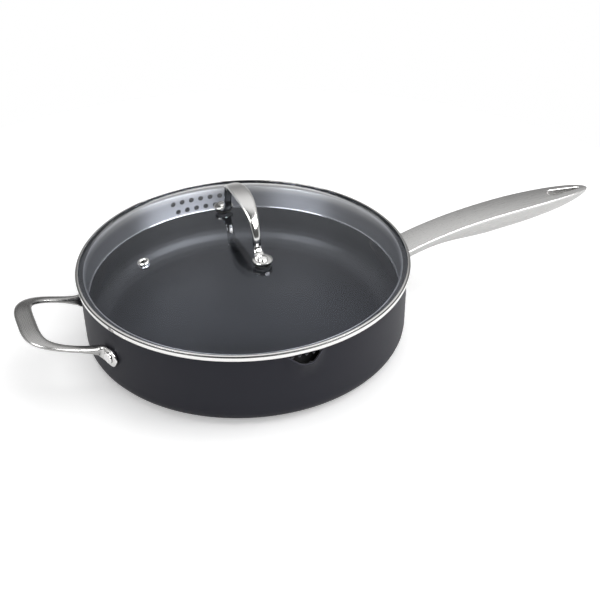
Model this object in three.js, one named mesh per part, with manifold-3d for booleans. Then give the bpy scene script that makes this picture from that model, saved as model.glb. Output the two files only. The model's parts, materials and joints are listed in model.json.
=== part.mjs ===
// Deep frying pan with a glass strainer lid. Sizes are millimetres and +Z is up.
// The origin is the middle of the base, where it stands on the hob. The long handle points along +X,
// and the pouring spouts and the strainer holes face +Y and -Y.

import * as THREE from 'three';
import { mergeVertices } from 'three/addons/utils/BufferGeometryUtils.js';
import Module from 'manifold-3d';

const wasm = await Module();
wasm.setup();

// Fits between neighbouring pieces
const CLEARANCE = 0.3;
const HOLE_CLEARANCE = 0.4;
const WELD = 1e-4;

// Pan body
const PAN_RADIUS = 142.3;
const PAN_HEIGHT = 64.4;
const WALL_THICKNESS = 2.8;
const WALL_LEAN = 1.0;
const FLOOR_THICKNESS = 4.2;
const OUTER_CORNER = 12;
const INNER_CORNER = 15;

// Pouring spouts
const SPOUT_WIDTH = 38;
const SPOUT_DROP = 7.5;
const SPOUT_REACH = 6;
const SPOUT_DEPTH = 26;
const SPOUT_FLAT = 0.12;
const SPOUT_ROWS = 4;

// Induction disc in the underside
const DISC_RADIUS = 108;
const DISC_THICKNESS = 1.6;
const DISC_PROUD = 0.5;
const DISC_GAP = 0.6;
const DISC_BEVEL = 0.4;

// Long handle
const HANDLE_LENGTH = 209.3;
const HANDLE_ROOT_HEIGHT = 43.4;
const HANDLE_TIP_HEIGHT = 65.8;
const HANDLE_SWEEP = 3.17;
const HANDLE_WIDTH = 30.2;
const HANDLE_ROOT_FLARE = 7;
const HANDLE_FLARE_LENGTH = 5;
const HANDLE_ROOT_DEPTH = 12.3;
const HANDLE_DEPTH = 20.9;
const HANDLE_SWELL_START = 0.14;
const HANDLE_SWELL_END = 0.48;
const HANDLE_NOSE = 96;
const HANDLE_NOSE_TAPER = 0.45;
const HANDLE_NOSE_THINNING = 0.59;
const HANDLE_TIP_SINK = 1.25;
const HANDLE_TIP_GATHER = 6;
const HANDLE_EDGE = 1.6;
const HANDLE_CROWN = 0.5;
const BELLY_SQUARENESS = 2.4;
const SLOT_WIDTH = 10.8;
const SLOT_LENGTH = 35;
const SLOT_TIP = 2.8;
const SLOT_TO_END = 8.5;
const FLANGE_WIDTH = 66;
const FLANGE_HEIGHT = 21;
const FLANGE_THICKNESS = 3.6;
const FLANGE_LEVEL = 37;
const FLANGE_RIVET_EDGE = 9;

// Helper handle
const HELPER_REACH = 49.1;
const HELPER_SPREAD = 79.8;
const HELPER_SQUARENESS = 3.9;
const HELPER_ROOT_HEIGHT = 38.8;
const HELPER_RISE = 17;
const HELPER_LEVELLING = 1.04;
const HELPER_GRIP_WIDTH = 15.4;
const HELPER_LEG_WIDTH = 7.6;
const HELPER_ROOT_FLARE = 5;
const HELPER_GRIP_THICKNESS = 4.4;
const HELPER_LEG_THICKNESS = 4.3;
const HELPER_GRIP_GATHER = 2.75;
const HELPER_FLARE_GATHER = 20;
const PAD_HEIGHT = 16.4;
const PAD_NARROW = 14;
const PAD_END = 1.8;
const PAD_THICKNESS = 3.4;
const PAD_LEVEL = 36.2;
const PAD_SPACING = 98;

// Wall rivets
const RIVET_SHANK = 6;
const RIVET_HEAD = 10.6;
const RIVET_HEAD_HEIGHT = 1.7;
const RIVET_TAIL = 11;
const RIVET_TAIL_HEIGHT = 1.2;
const RIVET_SEAT = 0.6;

// Lid rim, a rolled channel, and the strainer band that hangs from it
const RIM_OVERHANG = 2.7;
const RIM_SHEET = 0.5;
const RIM_LIP = 2.6;
const RIM_ROUND = 1.8;
const BAND_SHEET = 0.5;
const BAND_GAP = 2.9;
const BAND_DROP = 21.4;
const BAND_BEND = 0.8;
const BAND_HEM = 1.6;
const EDGE_GAP = 0.5;
const COARSE_HOLE = 4.5;
const COARSE_PITCH = 9.45;
const COARSE_COUNTS = [6, 5];
const FINE_HOLE = 3;
const FINE_PITCH = 6;
const FINE_COUNTS = [8, 7];
const HOLE_ROW_TOP = 6.4;
const HOLE_ROW_STEP = 9.5;

// Lid glass
const GLASS_THICKNESS = 3;
const GLASS_RISE = 23.6;
const GLASS_FLATNESS = 0.5;
const GLASS_MARGIN = 4;
const GLASS_EDGE_ROUND = 1.2;

// Lid handle and its fixings
const ARCH_RISE = 43.3;
const ARCH_SPAN = 73;
const ARCH_SQUARENESS = 2.3;
const FOOT_SPACING = 98;
const FOOT_WIDTH = 17;
const FOOT_THICKNESS = 3.3;
const FOOT_STAND = 6;
const FOOT_BEND = 8;
const ANKLE_FLARE = 0.5;
const CROWN_WIDTH = 15;
const CROWN_THICKNESS = 3.4;
const CROWN_GATHER = 3;
const LEG_WIDTH = 6.6;
const LEG_THICKNESS = 4.8;
const BOSS_DIAMETER = 11;
const LID_SHANK = 4.6;
const LID_RIVET_HEAD = 8.6;
const LID_RIVET_HEAD_HEIGHT = 1.5;
const LID_RIVET_TAIL = 8;
const LID_RIVET_TAIL_HEIGHT = 1.4;
const SEAT_DIAMETER = 14;
const SEAT_THICKNESS = 1.7;
const SEAL_DIAMETER = 14;
const SEAL_THICKNESS = 1.5;
const CUP_DIAMETER = 12;
const CUP_THICKNESS = 0.8;

// Steam vent eyelet
const VENT_REACH = 88;
const VENT_BORE = 4.6;
const VENT_WALL = 0.9;
const VENT_FLANGE = 10.6;
const VENT_FLANGE_THICKNESS = 1.9;
const VENT_ROLL = 9.4;

// Facets
const ROUND_STEPS = 48;
const BODY_STEPS = 56;
const BODY_GATHER = 0.28;
const TOOL_STEPS = 96;
const SMALL_STEPS = 12;
const HOLE_STEPS = 8;
const ARC_STEPS = 1;
const CORNER_ARC_STEPS = 2;
const PLATE_ARC_STEPS = 5;
const SECTION_STEPS = 12;
const SECTION_SQUARENESS = 2.8;
const BELLY_STEPS = 10;
const HANDLE_STEPS = 9;
const NOSE_STEPS = 8;
const HELPER_STEPS = 20;
const FOOT_STEPS = 7;
const BEND_STEPS = 4;
const ARCH_STEPS = 10;
const DOME_STEPS = 2;
const BLUNT_TIP = 0.1;

// Radii and heights that follow from the sizes above
const panInnerRadius = PAN_RADIUS - WALL_THICKNESS;
const floorTop = DISC_PROUD + FLOOR_THICKNESS;
const rimRadius = PAN_RADIUS + RIM_OVERHANG;
const rimSeat = PAN_HEIGHT + CLEARANCE;
const bandRadius = panInnerRadius - BAND_GAP;
const bandFlange = RIM_SHEET + CLEARANCE;
const glassBottom = bandFlange + BAND_SHEET + CLEARANCE;
const glassEdge = glassBottom + GLASS_THICKNESS;
const rimHeight = glassEdge + CLEARANCE + RIM_SHEET;
const glassRadius = rimRadius - RIM_SHEET - EDGE_GAP;
const domeRadius = glassRadius - GLASS_MARGIN;
const padReach = PAN_RADIUS + CLEARANCE;
const handleRivetSpacing = FLANGE_WIDTH - 2 * FLANGE_RIVET_EDGE;

// The same solid with shared corners, no collapsed triangles and its faces turned outwards.
function closed(geometry) {
  const bare = new THREE.BufferGeometry();
  bare.setAttribute('position', geometry.getAttribute('position'));
  bare.setIndex(geometry.getIndex());
  const merged = mergeVertices(bare, WELD);
  const source = merged.getIndex().array;
  const places = merged.getAttribute('position');
  const corners = [];
  const a = new THREE.Vector3();
  const b = new THREE.Vector3();
  const c = new THREE.Vector3();
  let volume = 0;
  for (let i = 0; i < source.length; i += 3) {
    const [p, q, r] = source.slice(i, i + 3);
    if (p !== q && q !== r && r !== p) {
      corners.push(p, q, r);
      a.fromBufferAttribute(places, p);
      b.fromBufferAttribute(places, q);
      c.fromBufferAttribute(places, r);
      volume += a.dot(b.cross(c));
    }
  }
  if (volume < 0) {
    corners.reverse();
  }
  merged.setIndex(corners);
  return merged;
}

function toSolid(geometry) {
  const skin = closed(geometry);
  const vertProperties = new Float32Array(skin.getAttribute('position').array);
  const triVerts = new Uint32Array(skin.getIndex().array);
  return new wasm.Manifold(new wasm.Mesh({ numProp: 3, vertProperties, triVerts }));
}

function toGeometry(solid) {
  const mesh = solid.getMesh();
  const geometry = new THREE.BufferGeometry();
  geometry.setAttribute('position', new THREE.BufferAttribute(mesh.vertProperties, 3));
  geometry.setIndex(new THREE.BufferAttribute(mesh.triVerts, 1));
  return geometry;
}

function joined(first, ...others) {
  return toGeometry(others.reduce((whole, other) => whole.add(toSolid(other)), toSolid(first)));
}

function cut(body, ...tools) {
  return toGeometry(tools.reduce((rest, tool) => rest.subtract(toSolid(tool)), toSolid(body)));
}

function shared(first, second) {
  return toGeometry(toSolid(first).intersect(toSolid(second)));
}

// Turns a radius and height profile round the Z axis.
function revolve(profile, steps = ROUND_STEPS, arcSteps = ARC_STEPS) {
  const geometry = new THREE.LatheGeometry(profile.getPoints(arcSteps), steps);
  return geometry.rotateX(Math.PI / 2);
}

// A closed skin over matching rings of points, with both ends fanned shut.
function loft(rings) {
  const count = rings[0].length;
  const middle = (ring) => ring.reduce((sum, point) => sum.add(point), new THREE.Vector3())
    .divideScalar(count);
  const points = [...rings.flat(), middle(rings[0]), middle(rings[rings.length - 1])];
  const startMiddle = rings.length * count;
  const endMiddle = startMiddle + 1;
  const lastRing = startMiddle - count;
  const index = [];
  for (let j = 0; j < count; j += 1) {
    const next = (j + 1) % count;
    for (let row = 0; row < lastRing; row += count) {
      index.push(row + j, row + next, row + count + next);
      index.push(row + j, row + count + next, row + count + j);
    }
    index.push(startMiddle, next, j);
    index.push(endMiddle, lastRing + j, lastRing + next);
  }
  const geometry = new THREE.BufferGeometry().setFromPoints(points);
  geometry.setIndex(index);
  return geometry;
}

// A rounded oblong ring across a strap: width lies along side and thickness along normal.
function strapSection(centre, side, normal, width, thickness) {
  const power = 2 / SECTION_SQUARENESS;
  const ring = [];
  for (let i = 0; i < SECTION_STEPS; i += 1) {
    const angle = (2 * Math.PI * (i + 0.5)) / SECTION_STEPS;
    const across = Math.sign(Math.cos(angle)) * Math.abs(Math.cos(angle)) ** power;
    const up = Math.sign(Math.sin(angle)) * Math.abs(Math.sin(angle)) ** power;
    const point = centre.clone();
    point.addScaledVector(side, (across * width) / 2);
    point.addScaledVector(normal, (up * thickness) / 2);
    ring.push(point);
  }
  return ring;
}

// A round plug along the radius at one azimuth and height.
function radialPlug(diameter, azimuth, height, from, to, steps = SMALL_STEPS) {
  const plug = new THREE.CylinderGeometry(diameter / 2, diameter / 2, to - from, steps);
  plug.rotateZ(-Math.PI / 2);
  plug.translate((from + to) / 2, 0, height);
  return plug.rotateZ(azimuth);
}

// An upright round plug about a local Z axis, moved by a placing matrix.
function uprightPlug(diameter, from, to, placing, steps = SMALL_STEPS) {
  const plug = new THREE.CylinderGeometry(diameter / 2, diameter / 2, to - from, steps);
  plug.rotateX(Math.PI / 2);
  plug.translate(0, 0, (from + to) / 2);
  return plug.applyMatrix4(placing);
}

// A flat ring about Z, standing on height zero.
function washer(outerDiameter, boreDiameter, thickness) {
  const profile = new THREE.Path();
  profile.moveTo(boreDiameter / 2, 0);
  profile.lineTo(outerDiameter / 2, 0);
  profile.lineTo(outerDiameter / 2, thickness);
  profile.lineTo(boreDiameter / 2, thickness);
  profile.closePath();
  return revolve(profile, SMALL_STEPS);
}

// A rivet about Z: a low domed tail below zero, a shank of the grip's length and a domed head above.
function rivet(shank, grip, head, headHeight, tail, tailHeight) {
  const profile = new THREE.Path();
  profile.absellipse(0, 0, tail / 2, tailHeight, -Math.PI / 2, 0, false);
  profile.lineTo(shank / 2, 0);
  profile.lineTo(shank / 2, grip);
  profile.lineTo(head / 2, grip);
  profile.absellipse(0, grip, head / 2, headHeight, 0, Math.PI / 2, false);
  return revolve(profile, SMALL_STEPS);
}

function finish(colour, roughness, metalness) {
  return new THREE.MeshStandardMaterial({ color: colour, roughness, metalness });
}

const anodised = () => finish(0x37363b, 0.5, 0.3);
const satinSteel = () => finish(0xb4b3b0, 0.35, 1);
const polishedSteel = () => finish(0xd8d8d6, 0.12, 1);
const darkSilicone = () => finish(0x161616, 0.7, 0);

function piece(name, geometry, material) {
  const mesh = new THREE.Mesh(closed(geometry), material);
  mesh.geometry.computeVertexNormals();
  mesh.name = name;
  return mesh;
}

// Radius of the pan's outer wall, which leans out a little towards the rim.
function wallRadius(height) {
  return PAN_RADIUS - WALL_LEAN * (1 - height / PAN_HEIGHT);
}

// Solid of the space that the pan's wall fills, grown by an offset. Handles are fitted against it.
function wallEnvelope(offset) {
  const reach = 2 * PAN_HEIGHT;
  const profile = new THREE.Path();
  profile.moveTo(0, -reach);
  profile.lineTo(wallRadius(-reach) + offset, -reach);
  profile.lineTo(wallRadius(reach) + offset, reach);
  profile.lineTo(0, reach);
  return revolve(profile, TOOL_STEPS);
}

// How much of the spout's full form there is at an azimuth: one near its middle, none past its width.
function spoutShare(azimuth) {
  const fromMiddle = Math.abs(Math.abs(azimuth) - Math.PI / 2) * PAN_RADIUS;
  const half = SPOUT_WIDTH / 2;
  return 1 - THREE.MathUtils.smoothstep(fromMiddle, half * SPOUT_FLAT, half);
}

// Facets are gathered near the spouts, and the rim there is drawn outwards and down.
function formSpouts(geometry) {
  const places = geometry.getAttribute('position');
  const start = PAN_HEIGHT - SPOUT_DEPTH;
  for (let i = 0; i < places.count; i += 1) {
    const x = places.getX(i);
    const y = places.getY(i);
    const z = places.getZ(i);
    const even = Math.atan2(y, x);
    const azimuth = even + BODY_GATHER * Math.sin(2 * even);
    const climb = THREE.MathUtils.clamp((z - start) / SPOUT_DEPTH, 0, 1);
    const share = spoutShare(azimuth);
    const radius = Math.hypot(x, y) + SPOUT_REACH * share * climb ** 2;
    const height = z - SPOUT_DROP * share * climb;
    places.setXYZ(i, radius * Math.cos(azimuth), radius * Math.sin(azimuth), height);
  }
  return geometry;
}

// Azimuth of a rivet that stands at half of a spacing to one side, measured on the wall.
function rivetAzimuth(spacing, side) {
  return side * Math.asin(spacing / 2 / PAN_RADIUS);
}

function makePanBody() {
  const recessTop = DISC_THICKNESS + CLEARANCE;
  const recessRadius = DISC_RADIUS + DISC_GAP;
  const footRadius = wallRadius(OUTER_CORNER);
  const innerFoot = wallRadius(floorTop + INNER_CORNER) - WALL_THICKNESS;
  const rimHalf = WALL_THICKNESS / 2;
  const wallTop = PAN_HEIGHT - rimHalf;
  const spoutStart = PAN_HEIGHT - SPOUT_DEPTH;
  const profile = new THREE.Path();
  profile.moveTo(0, recessTop);
  profile.lineTo(recessRadius, recessTop);
  profile.lineTo(recessRadius, DISC_PROUD);
  const footMiddle = footRadius - OUTER_CORNER;
  profile.absarc(footMiddle, DISC_PROUD + OUTER_CORNER, OUTER_CORNER, -Math.PI / 2, 0, false);
  const rows = [];
  for (let i = 0; i < SPOUT_ROWS; i += 1) {
    rows.push(spoutStart + ((wallTop - spoutStart) * i) / SPOUT_ROWS);
  }
  rows.forEach((height) => profile.lineTo(wallRadius(height), height));
  profile.absarc(PAN_RADIUS - rimHalf, wallTop, rimHalf, 0, Math.PI, false);
  rows.reverse().forEach((height) => profile.lineTo(wallRadius(height) - WALL_THICKNESS, height));
  profile.absarc(innerFoot - INNER_CORNER, floorTop + INNER_CORNER, INNER_CORNER, 0, -Math.PI / 2, true);
  profile.lineTo(0, floorTop);
  const body = formSpouts(revolve(profile, BODY_STEPS, CORNER_ARC_STEPS));
  const bore = RIVET_SHANK + 2 * HOLE_CLEARANCE;
  const from = panInnerRadius - 2 * WALL_THICKNESS;
  const to = PAN_RADIUS + WALL_THICKNESS;
  const bores = [-1, 1].flatMap((side) => [
    radialPlug(bore, rivetAzimuth(handleRivetSpacing, side), FLANGE_LEVEL, from, to),
    radialPlug(bore, Math.PI + rivetAzimuth(PAD_SPACING, side), PAD_LEVEL, from, to),
  ]);
  return piece('pan_body', cut(body, ...bores), anodised());
}

function makeBaseDisc() {
  const profile = new THREE.Path();
  profile.moveTo(0, 0);
  profile.lineTo(DISC_RADIUS - DISC_BEVEL, 0);
  profile.lineTo(DISC_RADIUS, DISC_BEVEL);
  profile.lineTo(DISC_RADIUS, DISC_THICKNESS);
  profile.lineTo(0, DISC_THICKNESS);
  return piece('base_disc', revolve(profile), satinSteel());
}

// An outline with a broad round end, a narrow one further along X and straight sides between them.
function teardrop(broad, narrow, length, start = 0) {
  const slant = Math.asin((broad - narrow) / 2 / length);
  const outline = new THREE.Shape();
  outline.absarc(start, 0, broad / 2, Math.PI / 2 - slant, (3 * Math.PI) / 2 + slant, false);
  outline.absarc(start + length, 0, narrow / 2, slant - Math.PI / 2, Math.PI / 2 - slant, false);
  return outline;
}

// A plate of the given outline, turned in its own plane, that follows the pan's wall at one azimuth.
function wallPlate(outline, turn, thickness, azimuth, level) {
  const depth = 2 * PAN_RADIUS;
  const settings = { depth, bevelEnabled: false, curveSegments: PLATE_ARC_STEPS };
  const plate = new THREE.ExtrudeGeometry(outline, settings);
  plate.rotateZ(turn);
  const facing = new THREE.Matrix4().makeBasis(
    new THREE.Vector3(0, 1, 0),
    new THREE.Vector3(0, 0, 1),
    new THREE.Vector3(1, 0, 0),
  );
  plate.applyMatrix4(facing);
  plate.translate(PAN_RADIUS / 2, 0, level);
  plate.rotateZ(azimuth);
  return shared(plate, wallEnvelope(CLEARANCE + thickness));
}

// One rivet through the wall and a plate of the given thickness, as a group turned to its azimuth.
function wallRivet(name, azimuth, level, plateThickness) {
  const seat = wallRadius(level) - WALL_THICKNESS - RIVET_SEAT;
  const grip = RIVET_SEAT + WALL_THICKNESS + plateThickness + 2 * CLEARANCE;
  const shape = rivet(RIVET_SHANK, grip, RIVET_HEAD, RIVET_HEAD_HEIGHT, RIVET_TAIL, RIVET_TAIL_HEIGHT);
  const mesh = piece(name, shape, polishedSteel());
  mesh.rotation.y = Math.PI / 2;
  mesh.position.set(seat, 0, level);
  const group = new THREE.Group();
  group.rotation.z = azimuth;
  group.add(mesh);
  return group;
}

// Cross-section of the long handle: a flat top with softened edges over a rounded belly.
function handleSection(x, top, halfWidth, depth) {
  const edge = Math.min(HANDLE_EDGE, depth / 4, halfWidth / 3);
  const flat = halfWidth - edge / 2;
  const crown = (HANDLE_CROWN * edge) / HANDLE_EDGE;
  const ring = [
    new THREE.Vector3(x, -flat, top),
    new THREE.Vector3(x, 0, top + crown),
    new THREE.Vector3(x, flat, top),
  ];
  const power = 2 / BELLY_SQUARENESS;
  for (let i = 0; i <= BELLY_STEPS; i += 1) {
    const angle = (Math.PI * i) / BELLY_STEPS;
    const across = Math.sign(Math.cos(angle)) * Math.abs(Math.cos(angle)) ** power;
    const down = Math.abs(Math.sin(angle)) ** power;
    ring.push(new THREE.Vector3(x, halfWidth * across, top - edge - (depth - edge) * down));
  }
  return ring;
}

// Rings of the long handle from the wall to its tip. The top sweeps up and levels off,
// the belly is thin at the root and deepens along the grip, and the nose closes in an oval.
function handleRings() {
  const start = PAN_RADIUS - WALL_THICKNESS;
  const tip = PAN_RADIUS + HANDLE_LENGTH;
  const noseStart = tip - HANDLE_NOSE;
  const reaches = [];
  for (let i = 0; i < HANDLE_STEPS; i += 1) {
    const share = i / HANDLE_STEPS;
    reaches.push(start + (noseStart - start) * share ** (3 / 2));
  }
  for (let i = 0; i <= NOSE_STEPS; i += 1) {
    reaches.push(noseStart + (HANDLE_NOSE - BLUNT_TIP) * Math.sin((Math.PI * i) / (2 * NOSE_STEPS)));
  }
  return reaches.map((x) => {
    const along = THREE.MathUtils.clamp((x - PAN_RADIUS) / HANDLE_LENGTH, 0, 1);
    const nose = Math.max(0, (x - noseStart) / HANDLE_NOSE);
    const rise = 1 - (1 - along) ** HANDLE_SWEEP;
    const flare = HANDLE_ROOT_FLARE * Math.exp(-Math.max(0, x - padReach) / HANDLE_FLARE_LENGTH);
    const halfWidth = (HANDLE_WIDTH / 2) * (1 - nose ** 2) ** HANDLE_NOSE_TAPER + flare / 2;
    const swell = THREE.MathUtils.smoothstep(along, HANDLE_SWELL_START, HANDLE_SWELL_END);
    const full = HANDLE_ROOT_DEPTH + (HANDLE_DEPTH - HANDLE_ROOT_DEPTH) * swell;
    const depth = full * (1 - nose ** 2) ** HANDLE_NOSE_THINNING;
    const sink = HANDLE_TIP_SINK * nose ** HANDLE_TIP_GATHER;
    const top = HANDLE_ROOT_HEIGHT + (HANDLE_TIP_HEIGHT - HANDLE_ROOT_HEIGHT) * rise - sink;
    return handleSection(x, top, halfWidth, depth);
  });
}

// A hanging slot, broad and round towards the pan and drawn to a narrow tip towards the handle's end.
function hangingSlot() {
  const length = SLOT_LENGTH - (SLOT_WIDTH + SLOT_TIP) / 2;
  const start = PAN_RADIUS + HANDLE_LENGTH - SLOT_TO_END - SLOT_TIP / 2 - length;
  const outline = teardrop(SLOT_WIDTH, SLOT_TIP, length, start);
  const depth = 4 * HANDLE_DEPTH;
  const settings = { depth, bevelEnabled: false, curveSegments: PLATE_ARC_STEPS };
  const slot = new THREE.ExtrudeGeometry(outline, settings);
  return slot.translate(0, 0, HANDLE_TIP_HEIGHT - depth / 2);
}

function makeLongHandle() {
  const length = FLANGE_WIDTH - FLANGE_HEIGHT;
  const outline = teardrop(FLANGE_HEIGHT, FLANGE_HEIGHT, length, -length / 2);
  const flange = wallPlate(outline, 0, FLANGE_THICKNESS, 0, FLANGE_LEVEL);
  const bore = RIVET_SHANK + 2 * HOLE_CLEARANCE;
  const to = PAN_RADIUS + 4 * FLANGE_THICKNESS;
  const bores = [-1, 1].map((side) => {
    const azimuth = rivetAzimuth(handleRivetSpacing, side);
    return radialPlug(bore, azimuth, FLANGE_LEVEL, panInnerRadius, to);
  });
  const whole = joined(loft(handleRings()), flange);
  const shape = cut(whole, wallEnvelope(CLEARANCE), hangingSlot(), ...bores);
  return piece('long_handle', shape, satinSteel());
}

// Rings of the helper handle's loop, a squared-off half oval that leaves the wall and climbs outwards.
// Its legs grow taller at the wall, where they run into the pads.
function helperRings() {
  const power = 2 / HELPER_SQUARENESS;
  const wallX = Math.sqrt(PAN_RADIUS ** 2 - (HELPER_SPREAD / 2) ** 2);
  const gripX = PAN_RADIUS + HELPER_REACH;
  const up = new THREE.Vector3(0, 0, 1);
  const place = (turn) => {
    const out = Math.sin(turn) ** power;
    const across = Math.sign(Math.cos(turn)) * Math.abs(Math.cos(turn)) ** power;
    const x = wallX + (gripX - wallX) * out;
    const climb = 1 - (1 - out) ** HELPER_LEVELLING;
    return new THREE.Vector3(x, (HELPER_SPREAD / 2) * across, HELPER_ROOT_HEIGHT + HELPER_RISE * climb);
  };
  const step = 1e-3;
  const rings = [];
  for (let i = 0; i <= HELPER_STEPS; i += 1) {
    const share = (1 - Math.cos((Math.PI * i) / HELPER_STEPS)) / 2;
    const turn = THREE.MathUtils.clamp(Math.PI * share, step, Math.PI - step);
    const fullness = Math.sin(turn) ** HELPER_GRIP_GATHER;
    const flare = HELPER_ROOT_FLARE * (1 - Math.sin(turn)) ** HELPER_FLARE_GATHER;
    const width = HELPER_LEG_WIDTH + (HELPER_GRIP_WIDTH - HELPER_LEG_WIDTH) * fullness;
    const thickness = HELPER_LEG_THICKNESS + (HELPER_GRIP_THICKNESS - HELPER_LEG_THICKNESS) * fullness;
    const along = place(Math.min(turn + step, Math.PI)).sub(place(Math.max(turn - step, 0))).normalize();
    const side = along.clone().cross(up).normalize();
    const normal = side.clone().cross(along);
    const centre = place(turn).addScaledVector(normal, -thickness / 2);
    rings.push(strapSection(centre, side, normal, width, thickness + flare));
  }
  return rings;
}

function makeHelperHandle() {
  const sides = [-1, 1];
  const bore = RIVET_SHANK + 2 * HOLE_CLEARANCE;
  const to = PAN_RADIUS + 4 * PAD_THICKNESS;
  const azimuths = sides.map((side) => rivetAzimuth(PAD_SPACING, side));
  const length = Math.max((PAD_SPACING - HELPER_SPREAD) / 2, PAD_HEIGHT / 2);
  const outline = teardrop(PAD_HEIGHT, PAD_NARROW, length + PAD_END, -PAD_END);
  const pads = sides.map((side, i) => {
    const turn = side > 0 ? Math.PI : 0;
    return wallPlate(outline, turn, PAD_THICKNESS, azimuths[i], PAD_LEVEL);
  });
  const bores = azimuths.map((azimuth) => radialPlug(bore, azimuth, PAD_LEVEL, panInnerRadius, to));
  const whole = joined(loft(helperRings()), ...pads);
  return piece('helper_handle', cut(whole, wallEnvelope(CLEARANCE), ...bores), satinSteel());
}

function makePan() {
  const pan = new THREE.Group();
  pan.add(makePanBody(), makeBaseDisc(), makeLongHandle());
  const helper = new THREE.Group();
  helper.rotation.z = Math.PI;
  helper.add(makeHelperHandle());
  const ends = [{ side: -1, end: 'front' }, { side: 1, end: 'back' }];
  ends.forEach(({ side, end }) => {
    const handleAzimuth = rivetAzimuth(handleRivetSpacing, side);
    const padAzimuth = rivetAzimuth(PAD_SPACING, -side);
    pan.add(wallRivet(`long_handle_rivet_${end}`, handleAzimuth, FLANGE_LEVEL, FLANGE_THICKNESS));
    helper.add(wallRivet(`helper_rivet_${end}`, padAzimuth, PAD_LEVEL, PAD_THICKNESS));
  });
  pan.add(helper);
  return pan;
}

// The lid stands in its own group, whose height zero is the underside of the rim.

// Top of the glass at a radius: a dome that stays flat in the middle and falls faster near its edge.
function glassTop(radius) {
  const share = Math.min(1, radius / domeRadius);
  const fall = (1 - GLASS_FLATNESS) * share ** 2 + GLASS_FLATNESS * share ** 4;
  return glassEdge + GLASS_RISE * (1 - fall);
}

function glassSlope(radius) {
  const share = Math.min(1, radius / domeRadius);
  const fall = 2 * (1 - GLASS_FLATNESS) * share + 4 * GLASS_FLATNESS * share ** 3;
  return (-GLASS_RISE * fall) / domeRadius;
}

// Frame on the glass at a place in plan: its origin is on the top face and its Z axis is square to it.
function glassFrame(x, y) {
  const radius = Math.hypot(x, y);
  const lean = Math.atan(-glassSlope(radius));
  const axis = new THREE.Vector3(-y, x, 0).normalize();
  const frame = new THREE.Matrix4().makeRotationAxis(axis, lean);
  return frame.setPosition(x, y, glassTop(radius));
}

const footFrame = (side) => glassFrame(0, (side * FOOT_SPACING) / 2);
const ventFrame = () => glassFrame(-VENT_REACH, 0);

// Channel rolled round the edge of the glass: a long lower lip on the pan's rim and a short upper one.
function makeRimRing() {
  const top = rimHeight;
  const inner = RIM_ROUND - RIM_SHEET;
  const arcRadius = rimRadius - RIM_ROUND;
  const lowerLip = bandRadius + BAND_BEND + CLEARANCE;
  const profile = new THREE.Path();
  profile.moveTo(lowerLip, 0);
  profile.absarc(arcRadius, RIM_ROUND, RIM_ROUND, -Math.PI / 2, 0, false);
  profile.absarc(arcRadius, top - RIM_ROUND, RIM_ROUND, 0, Math.PI / 2, false);
  profile.lineTo(rimRadius - RIM_LIP, top);
  profile.lineTo(rimRadius - RIM_LIP, top - RIM_SHEET);
  profile.absarc(arcRadius, top - RIM_ROUND, inner, Math.PI / 2, 0, true);
  profile.absarc(arcRadius, RIM_ROUND, inner, 0, -Math.PI / 2, true);
  profile.lineTo(lowerLip, RIM_SHEET);
  profile.closePath();
  return piece('lid_rim_ring', revolve(profile), polishedSteel());
}

// Plugs for one patch of strainer holes, in two staggered rows about the middle azimuth.
function strainerPlugs(azimuth, counts, pitch, diameter) {
  const plugs = [];
  const from = bandRadius - 4 * BAND_SHEET;
  const to = bandRadius + 4 * BAND_SHEET;
  counts.forEach((count, row) => {
    const height = -HOLE_ROW_TOP - HOLE_ROW_STEP * row;
    for (let i = 0; i < count; i += 1) {
      const turn = ((i - (count - 1) / 2) * pitch) / bandRadius;
      plugs.push(radialPlug(diameter, azimuth + turn, height, from, to, HOLE_STEPS));
    }
  });
  return plugs;
}

// Skirt whose flange is clamped under the glass, with a bend, a hemmed foot and two patches of holes.
function makeStrainerBand() {
  const flangeTop = bandFlange + BAND_SHEET;
  const flangeRadius = glassRadius;
  const bendRadius = bandRadius + BAND_BEND;
  const bendHeight = bandFlange - BAND_BEND;
  const profile = new THREE.Path();
  profile.moveTo(flangeRadius, bandFlange);
  profile.absarc(bendRadius, bendHeight, BAND_BEND, Math.PI / 2, Math.PI, false);
  profile.lineTo(bandRadius, -BAND_DROP);
  profile.lineTo(bandRadius - 2 * BAND_SHEET, -BAND_DROP);
  profile.lineTo(bandRadius - 2 * BAND_SHEET, BAND_HEM - BAND_DROP);
  profile.lineTo(bandRadius - BAND_SHEET, BAND_HEM - BAND_DROP);
  profile.absarc(bendRadius, bendHeight, BAND_BEND + BAND_SHEET, Math.PI, Math.PI / 2, true);
  profile.lineTo(flangeRadius, flangeTop);
  profile.closePath();
  const plugs = [
    ...strainerPlugs(Math.PI / 2, COARSE_COUNTS, COARSE_PITCH, COARSE_HOLE),
    ...strainerPlugs(-Math.PI / 2, FINE_COUNTS, FINE_PITCH, FINE_HOLE),
  ];
  return piece('strainer_band', cut(revolve(profile), ...plugs), polishedSteel());
}

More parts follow.
